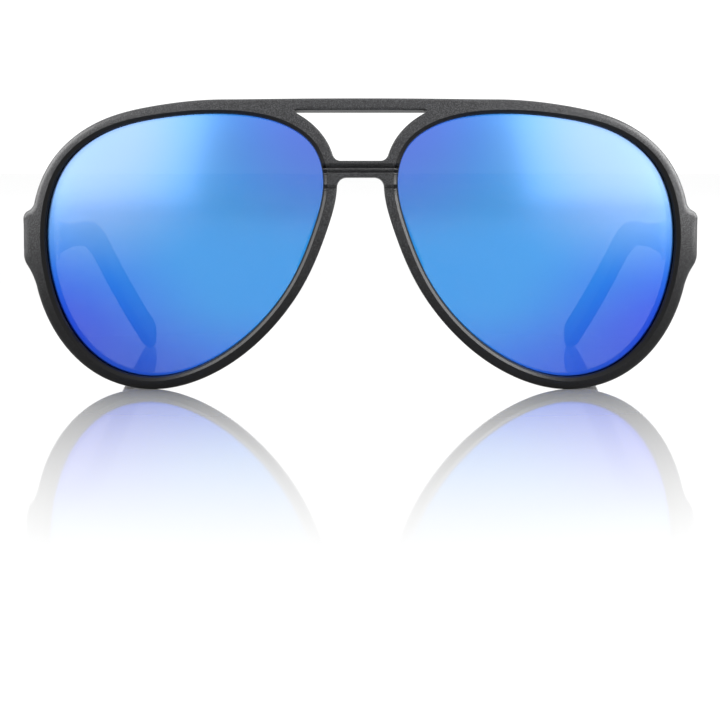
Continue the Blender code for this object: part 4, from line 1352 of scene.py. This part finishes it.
def temple_axis(s):
    """Middle of the temple at length s, and the direction up across it."""
    pitch = min(max(s - BEND_AT, 0) / BEND_RADIUS, HOOK_ANGLE)
    straight = min(s, BEND_AT)
    hook = max(s - BEND_AT - BEND_RADIUS * HOOK_ANGLE, 0)
    y = straight + BEND_RADIUS * math.sin(pitch) + hook * math.cos(HOOK_ANGLE)
    z = BEND_RADIUS * (1 - math.cos(pitch)) + hook * math.sin(HOOK_ANGLE)
    lean = max(s - FLAT_LENGTH, 0) / (TEMPLE_END - FLAT_LENGTH)
    x = LUG_OUTER - TEMPLE_THICKNESS / 2 - HOOK_LEAN * lean ** LEAN_POWER
    return Vector((x, TEMPLE_START + y, HINGE_Z - z)), Vector((0, math.sin(pitch), math.cos(pitch)))


def temple_size(s):
    """Thickness and height of the temple at length s, eased between its stations."""
    near = np.linspace(s - 6, s + 6, 13)
    return (np.interp(near, STATIONS, STATION_THICKNESS).mean(),
            np.interp(near, STATIONS, STATION_HEIGHTS).mean())


def temple_ring(s, thickness, height, radius=SECTION_ROUND):
    """Section of the temple at length s, square to its axis."""
    middle, up = temple_axis(s)
    return [middle + Vector((across, 0, 0)) + up * rise
            for across, rise in rounded_rectangle(thickness, height, radius)]


def temple_rings(start, end, count):
    """Full sections of the temple between two lengths along it."""
    return [temple_ring(s, *temple_size(s)) for s in np.linspace(start, end, count)]


def tongue_rings(start, end, spare=0.0, corner=TONGUE_THICKNESS / 4):
    """Sections of the tongue, or of its socket with some space to spare."""
    return [temple_ring(s, TONGUE_THICKNESS + spare, TONGUE_HEIGHT + spare, corner)
            for s in np.linspace(start, end, 12)]


def eased_end(s, edge, towards):
    """Rings of a rounded end at length s, going out for towards = 1 and in for -1."""
    rings = []
    for a in np.linspace(0, math.pi / 2, 5):
        inset = edge * (1 - math.cos(a))
        at = s - towards * edge * (1 - math.sin(a))
        thickness, height = temple_size(at)
        rings.append(temple_ring(at, thickness - 2 * inset, height - 2 * inset))
    return rings[::towards]


def temple_mesh():
    """Temple with the thin tongue that its sleeve is pushed over, and its leaf screw holes."""
    body_end, edge = SLEEVE_AT - GAP, 0.3
    sections = eased_end(0, edge, -1) + temple_rings(edge + 1, body_end - edge - 1, 72)
    sections += eased_end(body_end, edge, 1)
    sections += tongue_rings(body_end, SLEEVE_AT + TONGUE_LENGTH)
    return combined(lofted(sections), screw_holes(temple_screw_places()), "DIFFERENCE")


def temple_tip_mesh():
    """Soft sleeve over the tongue, with a round end that hooks behind the ear."""
    edge, squareness, slimmest = 0.35, 0.6, 0.3
    sections = eased_end(SLEEVE_AT, edge, -1) + temple_rings(SLEEVE_AT + edge + 1, TEMPLE_END, 44)
    thickness, height = temple_size(TEMPLE_END)
    for angle in np.radians(np.linspace(6, 84, 14)):
        slim = max(math.cos(angle) ** squareness, slimmest)
        sections.append(temple_ring(TEMPLE_END + height / 2 * math.sin(angle), thickness * slim,
                                    height * math.cos(angle)))
    socket = tongue_rings(SLEEVE_AT - 1, SLEEVE_AT + TONGUE_LENGTH + GAP, 2 * GAP, GAP)
    return combined(lofted(sections), [lofted(socket)], "DIFFERENCE")


# ---------------------------------------------------------------- operators

class BuildFront(Operator):
    """Build the one-piece moulded front"""
    bl_idname = "sunglasses.build_front"
    bl_label = "Moulded front"

    def execute(self, context):
        settings = context.scene.sunglasses
        add_piece("moulded_front", front_mesh(settings.front), [satin_nylon(settings.finish)],
                  "front", "moulded_nylon", ["front_frame"])
        return {"FINISHED"}


class BuildLenses(Operator):
    """Build the two mirror lenses"""
    bl_idname = "sunglasses.build_lenses"
    bl_label = "Mirror lenses"

    def execute(self, context):
        settings = context.scene.sunglasses
        coatings = [blue_mirror_coating(settings.lens), smoke_tint()]
        both_sides("lens", lens_mesh(), coatings, "mirror_lens")
        return {"FINISHED"}


class BuildNosePads(Operator):
    """Build the two soft nose pads"""
    bl_idname = "sunglasses.build_nose_pads"
    bl_label = "Nose pads"

    def execute(self, context):
        rubber = soft_rubber(context.scene.sunglasses.finish)
        both_sides("nose_pad", nose_pad_mesh(), [rubber], "soft_rubber")
        return {"FINISHED"}


class BuildHinges(Operator):
    """Build the hinge leaves of both hinges"""
    bl_idname = "sunglasses.build_hinges"
    bl_label = "Hinge leaves"

    def execute(self, context):
        steel = [brushed_steel(context.scene.sunglasses.finish)]
        front_leaf = leaf_mesh(FRONT_LEAF_END - FRONT_LEAF_LENGTH, FRONT_LEAF_END,
                               knuckle_spans()[0::2], front_screw_places())
        temple_leaf = leaf_mesh(TEMPLE_LEAF_START, TEMPLE_LEAF_START + TEMPLE_LEAF_LENGTH,
                                knuckle_spans()[1::2], temple_screw_places())
        both_sides("front_hinge_leaf", front_leaf, steel, "hinge_steel")
        both_sides("temple_hinge_leaf", temple_leaf, steel, "hinge_steel", moving=True)
        return {"FINISHED"}


class BuildScrews(Operator):
    """Build the hinge screws and the screws that hold the leaves"""
    bl_idname = "sunglasses.build_screws"
    bl_label = "Screws"

    def execute(self, context):
        steel = [brushed_steel(context.scene.sunglasses.finish)]
        both_sides("hinge_screw", hinge_screw_mesh(), steel, "hinge_steel")
        for place, spot in zip(front_screw_places(), ("upper", "lower")):
            both_sides(f"front_leaf_screw_{spot}", leaf_screw_mesh(place), steel, "hinge_steel")
        for place, spot in zip(temple_screw_places(), ("front", "rear")):
            both_sides(f"temple_leaf_screw_{spot}", leaf_screw_mesh(place), steel, "hinge_steel",
                       moving=True)
        return {"FINISHED"}


class BuildTemples(Operator):
    """Build the two nylon temples"""
    bl_idname = "sunglasses.build_temples"
    bl_label = "Temples"

    def execute(self, context):
        nylon = satin_nylon(context.scene.sunglasses.finish)
        both_sides("temple", temple_mesh(), [nylon], "moulded_nylon", moving=True)
        return {"FINISHED"}


class BuildTips(Operator):
    """Build the two soft temple tips"""
    bl_idname = "sunglasses.build_tips"
    bl_label = "Temple tips"

    def execute(self, context):
        rubber = soft_rubber(context.scene.sunglasses.finish)
        both_sides("temple_tip", temple_tip_mesh(), [rubber], "soft_rubber", moving=True)
        return {"FINISHED"}


# ---------------------------------------------------------------- stage, in metres

FLOOR_HALF = 12.0
FLOOR_GAP = 0.00005
DIM_FLOOR = (0.12, 0.5)    # behind the middle, where the mirrored floor darkens
DIM_FLOOR_COLOUR = (0.02, 0.02, 0.02, 1)
LIT_FLOOR = (0.3, 1.8)     # away from the middle, where the lights' pool ends
CAMERA_ACROSS = -0.0001
LIGHTS_AIM = (0, -0.04, 0.03)
SOFTBOXES = (              # name, azimuth, elevation, distance, (width, height), radiance
    ("key_left", -50, 22, 1.4, (1.1, 1.1), 0.75),
    ("key_right", 50, 22, 1.4, (1.1, 1.1), 0.8),
    ("strip_left", -92, 20, 1.3, (0.9, 0.95), 9.0),
    ("strip_right", 91, 20, 1.3, (0.9, 0.95), 14.0))

# How far back or up a direction points where the mirrored surround changes
AHEAD, BESIDE, BEHIND = (-0.95, -0.3), (0.1, 0.5), (0.93, 0.98)
HIGH_UP = (0.2, 0.5)


def pale_floor(stage):
    """White floor whose gloss fades with the distance from the glasses."""
    made = bpy.data.materials.new("pale_floor")
    made.use_nodes = True
    tree = made.node_tree
    tree.nodes.clear()
    place = own_place(tree)
    away = add_node(tree, "ShaderNodeVectorMath", {0: place}, operation="LENGTH").outputs["Value"]
    gloss = add_node(tree, "ShaderNodeMapRange",
                     {"Value": away, "From Min": stage.gloss_from, "From Max": stage.gloss_to,
                      "To Min": stage.gloss, "To Max": 0.0}).outputs["Result"]
    seen = add_node(tree, "ShaderNodeLightPath").outputs["Is Camera Ray"]
    back = add_node(tree, "ShaderNodeSeparateXYZ", {"Vector": place}).outputs["Y"]
    mirrored_tone = blend_colour(tree, rise(tree, back, *DIM_FLOOR), rgba(stage.floor_mirrored),
                                 DIM_FLOOR_COLOUR)
    seen_tone = blend_colour(tree, rise(tree, away, *LIT_FLOOR), rgba(stage.floor_near),
                             rgba(stage.floor))
    flat = add_node(tree, "ShaderNodeBsdfDiffuse",
                    {"Color": blend_colour(tree, seen, mirrored_tone, seen_tone)})
    shine = add_node(tree, "ShaderNodeBsdfGlossy", {"Color": rgba(WHITE), "Roughness": 0.03})
    mixed = add_node(tree, "ShaderNodeMixShader", {0: times(tree, gloss, seen),
                                                   1: flat.outputs[0], 2: shine.outputs[0]})
    add_node(tree, "ShaderNodeOutputMaterial", {"Surface": mixed.outputs[0]})
    return made


def studio_world(stage):
    """White surround; what it mirrors in the glasses is dimmer straight in front of them."""
    world = bpy.data.worlds.new("studio")
    world.use_nodes = True
    tree = world.node_tree
    direction = add_node(tree, "ShaderNodeTexCoord").outputs["Generated"]
    parts = add_node(tree, "ShaderNodeSeparateXYZ", {"Vector": direction}).outputs
    back, up = parts["Y"], parts["Z"]
    ahead = rise(tree, back, *AHEAD, stage.sky_front, stage.sky_side)
    beside = rise(tree, back, *BESIDE, 0.0, stage.sky_side - stage.sky_behind)
    behind = rise(tree, back, *BEHIND, 0.0, stage.sky - stage.sky_behind)
    low = rise(tree, up, *HIGH_UP, bottom=1.0, top=0.0)
    low_light = times(tree, low, plus(tree, minus(tree, ahead, beside), behind))
    high_light = times(tree, minus(tree, 1.0, low), stage.sky_high)
    glossy = add_node(tree, "ShaderNodeLightPath").outputs["Is Glossy Ray"]
    strength = add_node(tree, "ShaderNodeMix", {"Factor": glossy, "A": stage.sky,
                                                "B": plus(tree, low_light, high_light)})
    feed(tree, tree.nodes["Background"],
         {"Color": rgba(WHITE), "Strength": strength.outputs["Result"]})
    return world


def softbox(name, azimuth, elevation, distance, size, radiance):
    """Rectangular light that faces the glasses. Azimuth 0 is in front and positive to +X."""
    light = bpy.data.lights.new(name, "AREA")
    light.shape = "RECTANGLE"
    light.size, light.size_y = size
    light.energy = radiance * math.pi * size[0] * size[1]
    lamp = bpy.data.objects.new(name, light)
    a, e = math.radians(azimuth), math.radians(elevation)
    away = Vector((math.sin(a) * math.cos(e), -math.cos(a) * math.cos(e), math.sin(e)))
    lamp.location = away * distance + Vector(LIGHTS_AIM)
    lamp.rotation_euler = away.to_track_quat("Z", "Y").to_euler()
    lamp.visible_camera = False
    bpy.context.scene.collection.objects.link(lamp)


def stage_floor(stage):
    """The floor, just under the glasses."""
    mesh = bpy.data.meshes.new("floor")
    mesh.from_pydata([(x * FLOOR_HALF, y * FLOOR_HALF, 0)
                      for x, y in ((-1, -1), (1, -1), (1, 1), (-1, 1))], [], [(0, 1, 2, 3)])
    mesh.materials.append(pale_floor(stage))
    floor = bpy.data.objects.new("floor", mesh)
    floor.location.z = CAD_LOW.z - FLOOR_GAP
    bpy.context.scene.collection.objects.link(floor)
    return floor


def stage_camera(stage):
    """The camera in front of the glasses, looking slightly down at them."""
    data = bpy.data.cameras.new("camera")
    data.lens = stage.lens_length
    camera = bpy.data.objects.new("camera", data)
    camera.location = (CAMERA_ACROSS, CAD_LOW.y - stage.camera_distance, stage.camera_height)
    camera.rotation_euler = (math.pi / 2 - stage.camera_dip, 0, 0)
    bpy.context.scene.collection.objects.link(camera)
    return camera


class BuildStage(Operator):
    """Lay the floor, place the camera and light the glasses"""
    bl_idname = "sunglasses.build_stage"
    bl_label = "Stage"

    def execute(self, context):
        stage = context.scene.sunglasses.stage
        stage_floor(stage)
        context.scene.world = studio_world(stage)
        for light in SOFTBOXES:
            softbox(*light)
        context.scene.camera = stage_camera(stage)
        context.scene.view_settings.view_transform = "Standard"
        return {"FINISHED"}


PIECES = (BuildFront, BuildLenses, BuildNosePads, BuildHinges, BuildScrews, BuildTemples,
          BuildTips, BuildStage)


class SunglassesPanel(Panel):
    """Buttons for the pieces and the stage, and their settings"""
    bl_idname = "VIEW3D_PT_sunglasses"
    bl_label = "Mirror sunglasses"
    bl_space_type = "VIEW_3D"
    bl_region_type = "UI"
    bl_category = "Sunglasses"

    def draw(self, context):
        settings = context.scene.sunglasses
        for piece in PIECES:
            self.layout.operator(piece.bl_idname)
        for name, kind in SETTINGS:
            group = getattr(settings, name)
            area = self.layout.box()
            area.label(text=name.capitalize())
            for label in kind.__annotations__:
                area.prop(group, label)


CLASSES = tuple(kind for _, kind in SETTINGS) + (SunglassesSettings,) + PIECES + (SunglassesPanel,)


def register():
    for kind in CLASSES:
        bpy.utils.register_class(kind)
    bpy.types.Scene.sunglasses = PointerProperty(type=SunglassesSettings)


def unregister():
    del bpy.types.Scene.sunglasses
    for kind in reversed(CLASSES):
        bpy.utils.unregister_class(kind)


def main():
    register()
    for piece in PIECES:
        category, name = piece.bl_idname.split(".")
        getattr(getattr(bpy.ops, category), name)()


if __name__ == "__main__":
    main()
